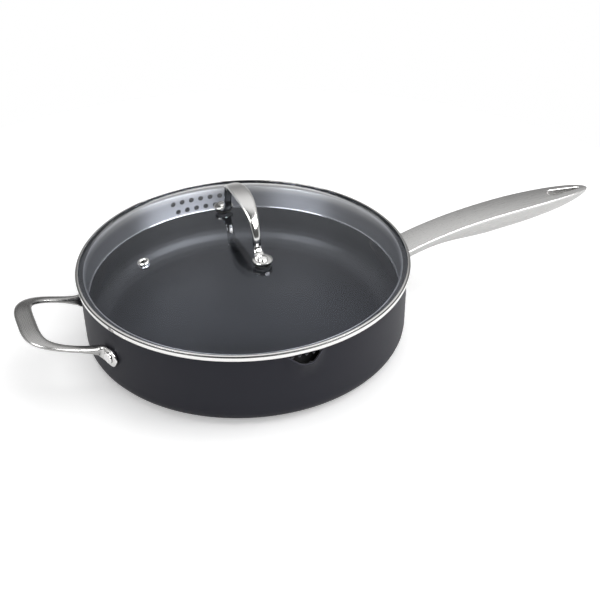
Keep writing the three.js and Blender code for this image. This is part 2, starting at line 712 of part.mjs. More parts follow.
function makeGlass() {
  const under = (radius) => glassTop(radius) - GLASS_THICKNESS * Math.hypot(1, glassSlope(radius));
  const stops = [0, FOOT_SPACING / 2, VENT_REACH, domeRadius].sort((a, b) => a - b);
  const radii = stops.slice(1).flatMap((stop, span) => {
    const shares = Array.from({ length: DOME_STEPS }, (_, i) => i / DOME_STEPS);
    return shares.map((share) => THREE.MathUtils.lerp(stops[span], stop, share));
  });
  const profile = new THREE.Path();
  const edgeRadius = glassRadius - GLASS_EDGE_ROUND;
  profile.moveTo(0, glassTop(0));
  radii.slice(1).forEach((radius) => profile.lineTo(radius, glassTop(radius)));
  profile.lineTo(domeRadius, glassEdge);
  profile.absarc(edgeRadius, glassEdge - GLASS_EDGE_ROUND, GLASS_EDGE_ROUND, Math.PI / 2, 0, true);
  profile.absarc(edgeRadius, glassBottom + GLASS_EDGE_ROUND, GLASS_EDGE_ROUND, 0, -Math.PI / 2, true);
  profile.lineTo(domeRadius, glassBottom);
  radii.reverse().forEach((radius) => profile.lineTo(radius, under(radius)));
  const deep = 4 * GLASS_THICKNESS;
  const footBore = LID_SHANK + 2 * HOLE_CLEARANCE;
  const ventBore = VENT_BORE + 2 * VENT_WALL + 2 * HOLE_CLEARANCE;
  const bores = [-1, 1].map((side) => uprightPlug(footBore, -deep, deep, footFrame(side)));
  bores.push(uprightPlug(ventBore, -deep, deep, ventFrame()));
  const clear = finish(0xeef3f4, 0.03, 0);
  clear.transparent = true;
  clear.opacity = 0.25;
  return piece('lid_glass', cut(revolve(profile), ...bores), clear);
}

// Rings of the lid handle, from the front foot over the arch to the back foot.
// Each foot is a round pad square to the glass, its leg bends up from it and swells into the broad crown.
function lidHandleRings() {
  const side = new THREE.Vector3(1, 0, 0);
  const padHeight = FOOT_STAND - FOOT_THICKNESS / 2;
  const padRadius = FOOT_WIDTH / 2;
  const foot = footFrame(1);
  const legY = ARCH_SPAN / 2;
  const bendEnd = new THREE.Vector3(0, legY + FOOT_BEND - FOOT_SPACING / 2, padHeight).applyMatrix4(foot);
  const springZ = bendEnd.z + FOOT_BEND;
  const crownZ = glassTop(0) + ARCH_RISE - CROWN_THICKNESS / 2;
  const stations = [];
  const padTip = Math.asin(1 - BLUNT_TIP / padRadius);
  const padStart = Math.asin((legY + FOOT_BEND - FOOT_SPACING / 2) / padRadius);
  for (let i = 0; i < FOOT_STEPS; i += 1) {
    const angle = THREE.MathUtils.lerp(padTip, padStart, i / FOOT_STEPS);
    const place = new THREE.Vector3(0, padRadius * Math.sin(angle), padHeight).applyMatrix4(foot);
    const width = Math.max(2 * padRadius * Math.cos(angle), LEG_WIDTH * (angle < 0 ? 1 : 0));
    stations.push({ place, width, thickness: FOOT_THICKNESS });
  }
  for (let i = 0; i < BEND_STEPS; i += 1) {
    const blend = i / BEND_STEPS;
    const angle = (Math.PI / 2) * blend;
    const y = legY + FOOT_BEND * (1 - Math.sin(angle));
    const z = springZ - FOOT_BEND * Math.cos(angle);
    const width = LEG_WIDTH * (1 + ANKLE_FLARE * (1 - blend) ** 2);
    const thickness = FOOT_THICKNESS + (LEG_THICKNESS - FOOT_THICKNESS) * blend;
    stations.push({ place: new THREE.Vector3(0, y, z), width, thickness });
  }
  const power = 2 / ARCH_SQUARENESS;
  for (let i = 0; i <= ARCH_STEPS; i += 1) {
    const turn = (Math.PI / 2) * (i / ARCH_STEPS);
    const y = i === ARCH_STEPS ? 0 : legY * Math.cos(turn) ** power;
    const z = springZ + (crownZ - springZ) * Math.sin(turn) ** power;
    const fullness = Math.sin(turn) ** CROWN_GATHER;
    const width = LEG_WIDTH + (CROWN_WIDTH - LEG_WIDTH) * fullness;
    const thickness = LEG_THICKNESS + (CROWN_THICKNESS - LEG_THICKNESS) * fullness;
    stations.push({ place: new THREE.Vector3(0, y, z), width, thickness });
  }
  const mirrored = stations.slice(0, -1).reverse().map((station) => {
    const place = station.place.clone();
    place.y = -place.y;
    return { ...station, place };
  });
  const all = [...stations, ...mirrored];
  return all.map(({ place, width, thickness }, i) => {
    const before = all[Math.max(0, i - 1)].place;
    const after = all[Math.min(all.length - 1, i + 1)].place;
    const along = after.clone().sub(before).normalize();
    const normal = side.clone().cross(along);
    return strapSection(place, side, normal, width, thickness);
  });
}

function makeLidHandle() {
  const sides = [-1, 1];
  const padTop = FOOT_STAND;
  const bossBottom = SEAT_THICKNESS + 2 * CLEARANCE;
  const middle = FOOT_STAND - FOOT_THICKNESS / 2;
  const bosses = sides.map((side) => uprightPlug(BOSS_DIAMETER, bossBottom, middle, footFrame(side)));
  const bore = LID_SHANK + 2 * HOLE_CLEARANCE;
  const bores = sides.map((side) => uprightPlug(bore, 0, 2 * padTop, footFrame(side)));
  const whole = joined(loft(lidHandleRings()), ...bosses);
  return piece('lid_handle', cut(whole, ...bores), satinSteel());
}

// The fixings of one foot, stacked along the glass frame from the rivet's tail up to its head.
function makeFootFixings(side, end) {
  const group = new THREE.Group();
  group.applyMatrix4(footFrame(side));
  const bore = LID_SHANK + 2 * HOLE_CLEARANCE;
  const sealTop = -GLASS_THICKNESS - CLEARANCE;
  const cupTop = sealTop - SEAL_THICKNESS - CLEARANCE;
  const tailTop = cupTop - CUP_THICKNESS - CLEARANCE;
  const grip = FOOT_STAND + CLEARANCE - tailTop;
  const pin = rivet(
    LID_SHANK,
    grip,
    LID_RIVET_HEAD,
    LID_RIVET_HEAD_HEIGHT,
    LID_RIVET_TAIL,
    LID_RIVET_TAIL_HEIGHT,
  );
  const stack = [
    { name: 'lid_rivet', shape: pin, height: tailTop, material: polishedSteel() },
    {
      name: 'seat_washer',
      shape: washer(SEAT_DIAMETER, bore, SEAT_THICKNESS),
      height: CLEARANCE,
      material: darkSilicone(),
    },
    {
      name: 'glass_seal',
      shape: washer(SEAL_DIAMETER, bore, SEAL_THICKNESS),
      height: sealTop - SEAL_THICKNESS,
      material: darkSilicone(),
    },
    {
      name: 'rivet_cup',
      shape: washer(CUP_DIAMETER, bore, CUP_THICKNESS),
      height: cupTop - CUP_THICKNESS,
      material: polishedSteel(),
    },
  ];
  stack.forEach(({ name, shape, height, material }) => {
    const mesh = piece(`${name}_${end}`, shape, material);
    mesh.position.z = height;
    group.add(mesh);
  });
  return group;
}

// A tube through the glass with a flange above and a rolled edge below.
function makeVentEyelet() {
  const boreRadius = VENT_BORE / 2;
  const tubeRadius = boreRadius + VENT_WALL;
  const flangeBottom = CLEARANCE;
  const flangeTop = flangeBottom + VENT_FLANGE_THICKNESS;
  const rollTop = -GLASS_THICKNESS - CLEARANCE;
  const rollBottom = rollTop - VENT_WALL;
  const profile = new THREE.Path();
  profile.moveTo(boreRadius, rollBottom);
  profile.lineTo(VENT_ROLL / 2, rollBottom);
  profile.lineTo(VENT_ROLL / 2, rollTop);
  profile.lineTo(tubeRadius, rollTop);
  profile.lineTo(tubeRadius, flangeBottom);
  profile.lineTo(VENT_FLANGE / 2, flangeBottom);
  profile.quadraticCurveTo(VENT_FLANGE / 2, flangeTop, boreRadius + VENT_WALL, flangeTop);
  profile.lineTo(boreRadius, flangeTop - VENT_WALL / 2);
  profile.closePath();
  const mesh = piece('vent_eyelet', revolve(profile, 2 * SMALL_STEPS), polishedSteel());
  const group = new THREE.Group();
  group.applyMatrix4(ventFrame());
  group.add(mesh);
  return group;
}

function makeLid() {
  const lid = new THREE.Group();
  lid.position.z = rimSeat;
  lid.add(makeRimRing(), makeStrainerBand(), makeGlass(), makeLidHandle(), makeVentEyelet());
  lid.add(makeFootFixings(-1, 'front'), makeFootFixings(1, 'back'));
  return lid;
}

const fryingPan = new THREE.Group();
fryingPan.add(makePan(), makeLid());

export default fryingPan;
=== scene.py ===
# %% [markdown]
# A deep frying pan with a glass strainer lid, dressed for its picture. The solid model is loaded first
# and stays fixed: it says where each piece is and which body carries it. Every piece below then takes
# the place of one solid with a finer skin and a real finish. Shapes are worked out in millimetres, and
# turned into metres only when a mesh is made.

# %% Load the solid model
import json
import math

import bpy
import numpy as np
from mathutils import Matrix, Vector


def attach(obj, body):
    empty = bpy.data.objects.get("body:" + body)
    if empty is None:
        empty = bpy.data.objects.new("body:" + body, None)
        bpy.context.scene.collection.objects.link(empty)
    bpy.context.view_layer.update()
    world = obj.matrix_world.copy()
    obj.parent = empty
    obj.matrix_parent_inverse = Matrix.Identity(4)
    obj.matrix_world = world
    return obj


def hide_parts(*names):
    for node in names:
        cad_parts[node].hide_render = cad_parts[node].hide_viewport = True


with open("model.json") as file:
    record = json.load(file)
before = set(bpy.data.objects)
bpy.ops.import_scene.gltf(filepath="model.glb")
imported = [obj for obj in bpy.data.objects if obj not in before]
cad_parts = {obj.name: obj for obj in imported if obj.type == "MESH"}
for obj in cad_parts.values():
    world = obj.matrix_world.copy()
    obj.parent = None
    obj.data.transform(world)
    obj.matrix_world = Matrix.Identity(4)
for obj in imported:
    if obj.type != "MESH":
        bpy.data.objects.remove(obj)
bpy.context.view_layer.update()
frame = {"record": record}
MM = 0.001

# %% [markdown]
# The camera stands where the photographer stood: in front of the pan, a little to its left and well
# above it. Its place and its three axes were found by fitting the ellipses of the rim, the base and the
# strainer. A matrix whose columns are those axes puts a camera there in one step, with no aiming
# constraint.

# %% Place the camera
CAMERA_PLACE = Vector((-0.2700, -0.8079, 0.5946))
CAMERA_RIGHT = Vector((0.9257, -0.3782, -0.0123)).normalized()
CAMERA_UP = Vector((0.2201, 0.5115, 0.8307)).normalized()
CAMERA_LENS, SENSOR, NEAR_CLIP = 68.93, 36.0, 0.05


def add_object(name, data):
    """A new object that shows the given data, linked into the scene."""
    item = bpy.data.objects.new(name, data)
    bpy.context.collection.objects.link(item)
    return item


lens = bpy.data.cameras.new("photo_camera")
lens.lens, lens.sensor_width, lens.clip_start = CAMERA_LENS, SENSOR, NEAR_CLIP
camera = add_object("photo_camera", lens)
axes = Matrix((CAMERA_RIGHT, CAMERA_UP, CAMERA_RIGHT.cross(CAMERA_UP))).transposed()
camera.matrix_world = Matrix.Translation(CAMERA_PLACE) @ axes.to_4x4()
bpy.context.scene.camera = camera
bpy.context.scene.view_settings.view_transform = "Standard"
print("camera", round(CAMERA_PLACE.length, 3), "m from the middle of the base")

# %% [markdown]
# A surface of two parameters is a grid of points, and its faces are the squares between neighbours. The
# helpers here make those squares, weld points that fall on one place, and turn a closed skin outwards.
# All of them work on whole arrays, so a hundred thousand faces take a fraction of a second.

# %% Grids, welding and closed skins
WELD, TINY = 1e-3, 1e-6


def smoothstep(value, low, high):
    """Zero below low, one above high, and 3t^2 - 2t^3 of the share t between them."""
    share = np.clip((value - low) / (high - low), 0, 1)
    return share * share * (3 - 2 * share)


def grid_faces(rows, columns, ring_rows=False, ring_columns=False):
    """Squares between neighbours on a grid. A ring direction joins its last line to its first."""
    row = np.arange(rows if ring_rows else rows - 1)[:, None]
    column = np.arange(columns if ring_columns else columns - 1)[None, :]
    next_row, next_column = (row + 1) % rows, (column + 1) % columns
    corners = (
        row * columns + column,
        next_row * columns + column,
        next_row * columns + next_column,
        row * columns + next_column,
    )
    return np.stack(np.broadcast_arrays(*corners), -1).reshape(-1, 4)


def weld(points, faces):
    """Points that round to the same place become one, and the faces follow them."""
    places = np.round(points / WELD).astype(np.int64)
    _, kept, new_index = np.unique(places, axis=0, return_index=True, return_inverse=True)
    return kept, new_index.reshape(-1)[faces]


def outward(points, faces):
    """Turns the faces round if six times the enclosed volume, the sum of a . (b x c), is negative."""
    a, b, c, d = (points[faces[:, k]] for k in range(4))
    volume = np.sum(a * np.cross(b, c)) + np.sum(a * np.cross(c, d))
    return faces if volume > 0 else faces[:, ::-1]


def close_sheet(upper, lower, faces):
    """Closed skin of two matching sheets, with a wall along each edge that only one face uses."""
    count = len(upper)
    edges = np.stack([faces, np.roll(faces, -1, axis=1)], -1).reshape(-1, 2)
    edges = edges[edges[:, 0] != edges[:, 1]]
    ordered = np.sort(edges, axis=1)
    _, first, uses = np.unique(ordered, axis=0, return_index=True, return_counts=True)
    rim = edges[first[uses == 1]]
    walls = np.column_stack([rim[:, ::-1], rim + count])
    return np.vstack([upper, lower]), np.vstack([faces, faces[:, ::-1] + count, walls])


ring_faces = grid_faces(3, 4, ring_columns=True)
print("a 3 x 4 grid has", len(grid_faces(3, 4)), "faces, or", len(ring_faces), "as a ring")

# %% [markdown]
# One function puts arrays into Blender. It welds the points, splits squares that closed up at a pole
# into triangles, stores any marks that a finish reads as attributes, and shades smooth with crisp edges
# kept. The object stays at the origin, so its place is in its mesh, and it rides on the body of the
# solid it replaces.

# %% Make a piece
BODY_OF = {node: body for body, nodes in frame["record"]["behaviour"]["bodies"].items() for node in nodes}
CREASE = math.radians(38)


def make_piece(name, node, skins, finish):
    """A mesh of one or more skins (points, faces, marks) that replaces one solid of the frame.

    A mark that only some of the skins carry is 0 on the others.
    """
    starts = np.cumsum([0] + [len(points) for points, _, _ in skins])
    faces = [outward(points, faces) + start for (points, faces, _), start in zip(skins, starts)]
    points = np.vstack([points for points, _, _ in skins])
    kept, faces = weld(points, np.vstack(faces))
    same = faces == np.roll(faces, -1, axis=1)
    squares = faces[same.sum(axis=1) == 0]
    pinched = same.sum(axis=1) == 1
    triangles = faces[pinched][~same[pinched]].reshape(-1, 3)
    mesh = bpy.data.meshes.new(name)
    mesh.from_pydata((points[kept] * MM).tolist(), [], squares.tolist() + triangles.tolist())
    widths = {mark: values.shape[1:] for _, _, marks in skins for mark, values in marks.items()}
    for mark, width in widths.items():
        values = [marks.get(mark, np.zeros((len(points), *width))) for points, _, marks in skins]
        kind, key = ("FLOAT_VECTOR", "vector") if width else ("FLOAT", "value")
        attribute = mesh.attributes.new(mark, kind, "POINT")
        attribute.data.foreach_set(key, np.concatenate(values)[kept].astype(np.float32).ravel())
    mesh.shade_smooth()
    mesh.set_sharp_from_angle(angle=CREASE)
    mesh.materials.append(finish)
    piece = add_object(name, mesh)
    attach(piece, BODY_OF[node])
    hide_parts(node)
    print(f"{name}: {len(squares)} squares, {len(triangles)} triangles, on {BODY_OF[node]}")


# %% [markdown]
# Most round pieces, from the pan to a washer, are a profile turned about an upright axis. A profile is
# drawn by its corners, each with a fillet, the way a turner reads a drawing. The corner's arc touches
# both of its lines, so light runs over the edge as it does on real metal.

# %% Profiles and turning
ARC_STEPS = 7


def soften(corners, span, closed=False):
    """Points along a line of corners (radius, height, fillet).

    A fillet starts at fillet / tan(half the angle) from its corner, and its arc is swept about a centre on
    the line that halves the angle. Straight runs are divided so that no step is longer than span.
    """
    corners = np.array(corners, float)
    place, fillet = corners[:, :2], corners[:, 2].copy()
    if not closed:
        fillet[[0, -1]] = 0
    back, ahead = np.roll(place, 1, axis=0) - place, np.roll(place, -1, axis=0) - place
    back /= np.linalg.norm(back, axis=1, keepdims=True)
    ahead /= np.linalg.norm(ahead, axis=1, keepdims=True)
    half = np.arccos(np.clip(np.sum(back * ahead, axis=1), -1, 1)) / 2
    middle = back + ahead
    middle /= np.maximum(np.linalg.norm(middle, axis=1, keepdims=True), TINY)
    reach = (fillet / np.tan(half))[:, None]
    centre = place + middle * (fillet / np.sin(half))[:, None]
    start, end = place + back * reach - centre, place + ahead * reach - centre
    turn = (math.pi - 2 * half)[:, None]
    share = np.linspace(0, 1, ARC_STEPS)[None, :]
    from_start = (np.sin((1 - share) * turn) / np.sin(turn))[..., None]
    from_end = (np.sin(share * turn) / np.sin(turn))[..., None]
    arcs = centre[:, None] + start[:, None] * from_start + end[:, None] * from_end
    arcs = np.where((fillet > 0)[:, None, None], arcs, place[:, None])
    line = arcs.reshape(-1, 2)
    line = np.vstack([line, line[:1]]) if closed else line
    steps = np.linalg.norm(np.diff(line, axis=0), axis=1)
    line, steps = line[np.r_[True, steps > TINY]], steps[steps > TINY]
    counts = np.maximum(1, np.ceil(steps / span)).astype(int)
    segment = np.repeat(np.arange(len(steps)), counts)
    before = np.repeat(np.cumsum(counts) - counts, counts)
    within = (np.arange(len(segment)) - before) / counts[segment]
    dense = line[segment] + (line[segment + 1] - line[segment]) * within[:, None]
    return dense if closed else np.vstack([dense, line[-1:]])


def turn_profile(profile, azimuths, closed=False):
    """Grid of a profile turned about Z: x = r cos a, y = r sin a, z = height."""
    radius, height = profile[:, 0], profile[:, 1]
    x = np.cos(azimuths)[:, None] * radius
    y = np.sin(azimuths)[:, None] * radius
    points = np.stack([x, y, np.broadcast_to(height, x.shape)], -1).reshape(-1, 3)
    return points, grid_faces(len(azimuths), len(profile), True, closed)


def even_turn(steps):
    """Azimuths of a full turn in even steps."""
    return 2 * math.pi * np.arange(steps) / steps


square = [(1, 0, 0.2), (2, 0, 0.2), (2, 1, 0.2), (1, 1, 0.2)]
print("a square with softened corners has", len(soften(square, 1, closed=True)), "points")

# %% [markdown]
# A finish is a node tree. Wired by hand, even "one minus a mask" takes four lines, so a small class
# wraps a socket and lets Python's own operators add the Math nodes. Any other node comes from one
# method, which sets the node's settings first, because some of them decide which sockets there are.

# %% Write node trees as expressions


def operator(operation, swapped=False):
    """A method that adds one Math node. A reflected form, as in 1 - mask, swaps its two values."""
    return lambda wire, other: wire.maths(operation, other, swapped)


class Wire:
    """An output socket. Arithmetic on it adds Math nodes to its tree."""

    def __init__(self, tree, socket):
        self.tree, self.socket = tree, socket

    def maths(self, operation, other, swapped=False):
        """One Math node on this value and another, in this order or swapped."""
        values = (other, self) if swapped else (self, other)
        return self.tree.node("Math", {"operation": operation}, dict(enumerate(values)))["Value"]

    __add__, __radd__ = operator("ADD"), operator("ADD", swapped=True)
    __sub__, __rsub__ = operator("SUBTRACT"), operator("SUBTRACT", swapped=True)
    __mul__, __rmul__ = operator("MULTIPLY"), operator("MULTIPLY", swapped=True)
    __pow__ = operator("POWER")


print("wires add, subtract, multiply and raise to a power")

# %% [markdown]
# The tree is wrapped as well. Its one method for nodes takes a type, settings and sockets, and gives
# back the outputs by name. The few nodes that nearly every finish needs, such as noise, a ramp or a
# bump, get short names of their own.

# %% Wrap a node tree


class Tree:
    """A material's or the world's node tree, emptied. node() adds any node and returns its outputs by name."""

    def __init__(self, owner):
        owner.use_nodes = True
        self.owner, self.tree = owner, owner.node_tree
        self.tree.nodes.clear()

    def node(self, kind, settings=None, inputs=None):
        """A node of a kind, its settings first, then a value or a link for each named socket."""
        node = self.tree.nodes.new("ShaderNode" + kind)
        for key, value in (settings or {}).items():
            if key == "stops":
                ramp = node.color_ramp.elements
                while len(ramp) < len(value):
                    ramp.new(1.0)
                for element, (position, level) in zip(ramp, value):
                    element.position, element.color = position, (level, level, level, 1)
            else:
                setattr(node, key, value)
        for key, value in (inputs or {}).items():
            named = [socket for socket in node.inputs if socket.enabled and socket.name == key]
            socket = named[0] if named else node.inputs[key]
            if isinstance(value, Wire):
                self.tree.links.new(value.socket, socket)
            else:
                socket.default_value = value
        return {socket.name: Wire(self, socket) for socket in node.outputs if socket.enabled}

    def blend(self, factor, first, second):
        """First colour where the factor is 0 and second where it is 1."""
        return self.node("Mix", {"data_type": "RGBA"}, {"Factor": factor, "A": first, "B": second})["Result"]

    def either(self, factor, first, second):
        """First shader where the factor is 0 and second where it is 1."""
        return self.node("MixShader", {}, {0: factor, 1: first, 2: second})["Shader"]

    def mark(self, name, output="Fac"):
        """What the piece's mesh carries as an attribute: a number, or a place if the output is Vector."""
        return self.node("Attribute", {"attribute_name": name})[output]

    def noise(self, place, scale, stretch=(1, 1, 1), detail=3.0):
        """Noise of the given scale, after the place is stretched along its three axes."""
        place = self.node("Mapping", {}, {"Vector": place, "Scale": stretch})["Vector"]
        return self.node("TexNoise", {}, {"Vector": place, "Scale": scale, "Detail": detail})["Fac"]

    def ramp(self, value, *stops):
        """A level read off the straight lines between stops (value, level)."""
        return self.node("ValToRGB", {"stops": stops}, {"Fac": value})["Color"]

    def bump(self, height, distance):
        """A normal from a height between 0 and 1, that stands for the given distance in metres."""
        return self.node("Bump", {}, {"Height": height, "Distance": distance})["Normal"]


print("a tree adds any node by its type")

# %% [markdown]
# A finish starts as an empty material and ends with a shader on its output. In between, a Principled
# shader does most of the work, so three small functions cover start, shader and end.

# %% Start and close a finish


def new_finish(name):
    """An empty finish and its Object coordinates."""
    tree = Tree(bpy.data.materials.new(name))
    return tree, tree.node("TexCoord")["Object"]


def principled(tree, **inputs):
    """A Principled shader. Names use _ for the spaces of its sockets."""
    sockets = {key.replace("_", " "): value for key, value in inputs.items()}
    return tree.node("BsdfPrincipled", {}, sockets)["BSDF"]


def close_finish(tree, shader):
    """Puts the shader on the finish's output and gives back the material."""
    tree.node("OutputMaterial", {}, {"Surface": shader})
    print("made", tree.owner.name)
    return tree.owner


print("finishes are written as expressions")

# %% [markdown]
# Hard anodising turns aluminium into a dark grey, matt skin that is a touch purple. It has a fine grain
# from the blasted metal under it, and it wears lighter where the pan is handled and slid about. The
# inside has a nearly black non-stick coat, whose pebbled surface breaks highlights into specks. One
# finish serves both, and a mark on the mesh says which side a point is on.

# %% Finish: hard anodised with a coated inside
SHELL_GREY, RUBBED_GREY = (0.0078, 0.0076, 0.0098, 1), (0.020, 0.0195, 0.023, 1)
SHELL_SHEEN, SHELL_SHEEN_TINT = 0.34, (0.80, 0.82, 1.0, 1)
COAT_BLACK, COAT_FLECK = (0.0012, 0.0014, 0.0017, 1), (0.006, 0.006, 0.007, 1)
COAT_SHEEN = 0.5
GRAIN_SCALE, GRAIN_HEIGHT = 2600.0, 0.00002
PEBBLE_SCALE, PEBBLE_HEIGHT = 1200.0, 0.000018
CLOUD_SCALE = 18.0

tree, place = new_finish("hard_anodised")
grain = tree.noise(place, GRAIN_SCALE)
cloud = tree.noise(place, CLOUD_SCALE)
outer = principled(
    tree,
    Base_Color=tree.blend(tree.mark("rubbed") * (0.35 + 0.65 * grain), SHELL_GREY, RUBBED_GREY),
    Roughness=0.48 + 0.10 * grain + 0.06 * cloud,
    Specular_IOR_Level=SHELL_SHEEN,
    Specular_Tint=SHELL_SHEEN_TINT,
    Normal=tree.bump(grain, GRAIN_HEIGHT),
)
pebble = tree.noise(place, PEBBLE_SCALE, detail=1.0)
coat = principled(
    tree,
    Base_Color=tree.blend(tree.ramp(pebble, (0.62, 0), (0.72, 1)), COAT_BLACK, COAT_FLECK),
    Roughness=0.40 + 0.05 * cloud,
    Specular_IOR_Level=COAT_SHEEN,
    Normal=tree.bump(pebble, PEBBLE_HEIGHT),
)
hard_anodised = close_finish(tree, tree.either(tree.mark("inside"), outer, coat))

# %% [markdown]
# Satin steel is brushed along its length, so its scratches are long in one direction and hair-fine in
# the other. Stretched noise gives that: the place is squeezed along the handle before it reaches the
# texture. The curved handles carry their own length along the path as a mark, so the brushing turns
# with them. Where a piece is part polished, a mark says so, and the same finish goes from satin to
# mirror. A second mark paints shade on the belly of the long handle: there the colour is mixed towards
# a dark grey, so the belly looks darker than the brushed top. The helper loop is the same steel, with a
# lower tone that paints it darker all over as shade.

# %% Finish: satin steel, brushed along the path
DULL_STEEL, STEEL = (0.64, 0.635, 0.625, 1), (0.72, 0.715, 0.705, 1)
BRIGHT_STEEL, PAINTED_SHADE_GREY = (0.80, 0.795, 0.785, 1), (0.12, 0.12, 0.12, 1)
HAIR_STRETCH, LONG_HAIR_STRETCH = (0.035, 2.4, 1.0), (0.010, 0.7, 1.0)
HAIR_HEIGHT, SMUDGE_SCALE = 0.000008, 0.06
FADE_BEFORE, FADE_AFTER = 0.12, 0.16


def satin_finish(name, tone, satin, polish_edge=None):
    """Steel brushed along the first axis of the mark 'path', which is in millimetres.

    The tone makes it lighter or darker, and a tone under 1 paints shade on the whole piece. Satin is its
    middle roughness. With a polish edge, the mark 'polish' is read as a share of the way along the piece:
    mirror up to that edge and satin past it. Where a second mark carries painted shade, the colour is
    mixed towards a dark grey.
    """
    tree, _ = new_finish(name)
    path = tree.mark("path", "Vector")
    hair = tree.noise(path, 1.0, HAIR_STRETCH)
    long_hair = tree.noise(path, 1.0, LONG_HAIR_STRETCH)
    smudge = tree.noise(path, SMUDGE_SCALE)
    polish = tree.mark("polish")
    if polish_edge:
        polish = tree.ramp(polish, (polish_edge - FADE_BEFORE, 1), (polish_edge + FADE_AFTER, 0))
    dull, fresh = ([tone * part for part in colour[:3]] + [1] for colour in (DULL_STEEL, STEEL))
    colour = tree.blend(polish, tree.blend(long_hair, dull, fresh), STEEL)
    return close_finish(tree, principled(
        tree,
        # Painted shade: where the shade mark is set, the colour is mixed towards a dark grey.
        Base_Color=tree.blend(tree.mark("shade"), colour, PAINTED_SHADE_GREY),
        Roughness=(1 - polish) * (satin - 0.10 + 0.20 * hair) + polish * (0.11 + 0.05 * smudge),
        Metallic=1.0,
        Normal=tree.bump((hair + long_hair) * 0.5 * (1 - polish), HAIR_HEIGHT),
    ))


satin_handle = satin_finish("satin_handle", 1.0, 0.30)
# The loop is the same steel as the long handle; its lower tone paints shade over the whole loop.
satin_loop_painted_shade = satin_finish("satin_loop_painted_shade", 0.62, 0.27)
satin_arch = satin_finish("satin_arch", 1.0, 0.34, 0.53)

# %% [markdown]
# Rivets, the rolled rim and the eyelet are polished like a mirror, with the faint haze that fingers
# leave. The ends of the wall rivets inside the pan were coated together with the pan, so a mark turns
# them black. The same mark draws the dark line that runs round the top of the rolled rim.

# %% Finish: polished steel
HAZE_SCALE, SCRATCH_SCALE, SCRATCH_HEIGHT = 70.0, 1400.0, 0.000004

tree, place = new_finish("polished_steel")
coated = tree.mark("coated")
polished_steel = close_finish(tree, principled(
    tree,
    Base_Color=tree.blend(coated, BRIGHT_STEEL, COAT_BLACK),
    Roughness=0.06 + 0.07 * tree.noise(place, HAZE_SCALE) + 0.30 * coated,
    Metallic=1 - coated,
    Normal=tree.bump(tree.noise(place, SCRATCH_SCALE), SCRATCH_HEIGHT),
))

# %% [markdown]
# The strainer's sheet is rolled steel with fine lines round it. Rolling leaves highlights that are
# drawn out across the lines, which an anisotropic shader gives. The skirt is darker than the handles
# and its outer face is smoother. Its bend and its hem carry a painted highlight: there the colour is
# lightened to bright steel. Two marks say where. The flange lies under the glass on a dark sealing ring
# that is too thin to model, so a third mark darkens the flange there.

# %% Finish: rolled strainer steel
SEAL_BLACK, SKIRT_STEEL = (0.012, 0.012, 0.012, 1), (0.36, 0.36, 0.37, 1)
LINE_STRETCH, LINE_HEIGHT = (0.012, 2.2, 1.0), 0.00002
SHEET_CLOUD_SCALE = 30.0

tree, place = new_finish("rolled_steel")
seal = tree.mark("seal")
lines = tree.noise(tree.mark("path", "Vector"), 1.0, LINE_STRETCH)
cloud = tree.noise(place, SHEET_CLOUD_SCALE)
# Painted highlight: the mark lightens the sheet to bright steel at the bend, the hem and the bead.
sheet = tree.blend(tree.mark("bright"), SKIRT_STEEL, BRIGHT_STEEL)
brushed = (1 - tree.mark("outer")) * (0.26 + 0.12 * lines)
rolled_steel = close_finish(tree, principled(
    tree,
    Base_Color=tree.blend(seal, sheet, SEAL_BLACK),
    Roughness=(1 - seal) * (0.12 + brushed + 0.04 * cloud) + 0.5 * seal,
    Metallic=1 - seal,
    Anisotropic=0.95,
    Anisotropic_Rotation=0.25,
    Normal=tree.bump(lines, LINE_HEIGHT),
))

# %% [markdown]
# The sole is turned on a lathe, so its brushing runs in rings. Distance from the axis drives the noise.
# The washers are black silicone: soft, matt and a little dusty.

# %% Finishes: turned sole and silicone
GROOVE_GREY = (0.42, 0.415, 0.41, 1)
RUBBER_BLACK, RUBBER_DUST = (0.010, 0.010, 0.010, 1), (0.022, 0.022, 0.022, 1)
GROOVE_SCALE, DUST_SCALE, ROUGH_HEIGHT = 1600.0, 500.0, 0.00002

tree, place = new_finish("turned_steel")
ring = tree.node("VectorMath", {"operation": "LENGTH"}, {0: place})["Value"]
groove = tree.noise(tree.node("CombineXYZ", {}, {"X": ring})["Vector"], GROOVE_SCALE)
turned_steel = close_finish(tree, principled(
    tree,
    Base_Color=tree.blend(groove, GROOVE_GREY, STEEL),
    Roughness=0.28 + 0.2 * groove,
    Metallic=1.0,
    Normal=tree.bump(groove, ROUGH_HEIGHT),
))

tree, place = new_finish("black_silicone")
dust = tree.noise(place, DUST_SCALE)
black_silicone = close_finish(tree, principled(
    tree,
    Base_Color=tree.blend(dust, RUBBER_BLACK, RUBBER_DUST),
    Roughness=0.5 + 0.2 * dust,
    Normal=tree.bump(dust, ROUGH_HEIGHT),
))

# %% [markdown]
# Toughened glass is clear, with a hint of blue in what it reflects. A ray tracer finds it hard to send
# light through glass onto what lies under it. So two kinds of ray pass as if the glass were a plain
# clear film: shadow rays, which ask whether a lamp is in sight, and rays that have bounced off metal
# and look for a lamp. Refracted rays count as glossy too, so they are taken off, and the view through
# the glass is bent as it should be.

# %% Finish: clear glass
GLASS_TINT, GLASS_SHEEN_TINT = (0.93, 0.95, 1.0, 1), (0.79, 0.82, 0.97, 1)
FILM_TINT = (0.91, 0.93, 0.96, 1)
GLASS_IOR, RIPPLE_SCALE, RIPPLE_HEIGHT = 1.3, 14.0, 0.00002

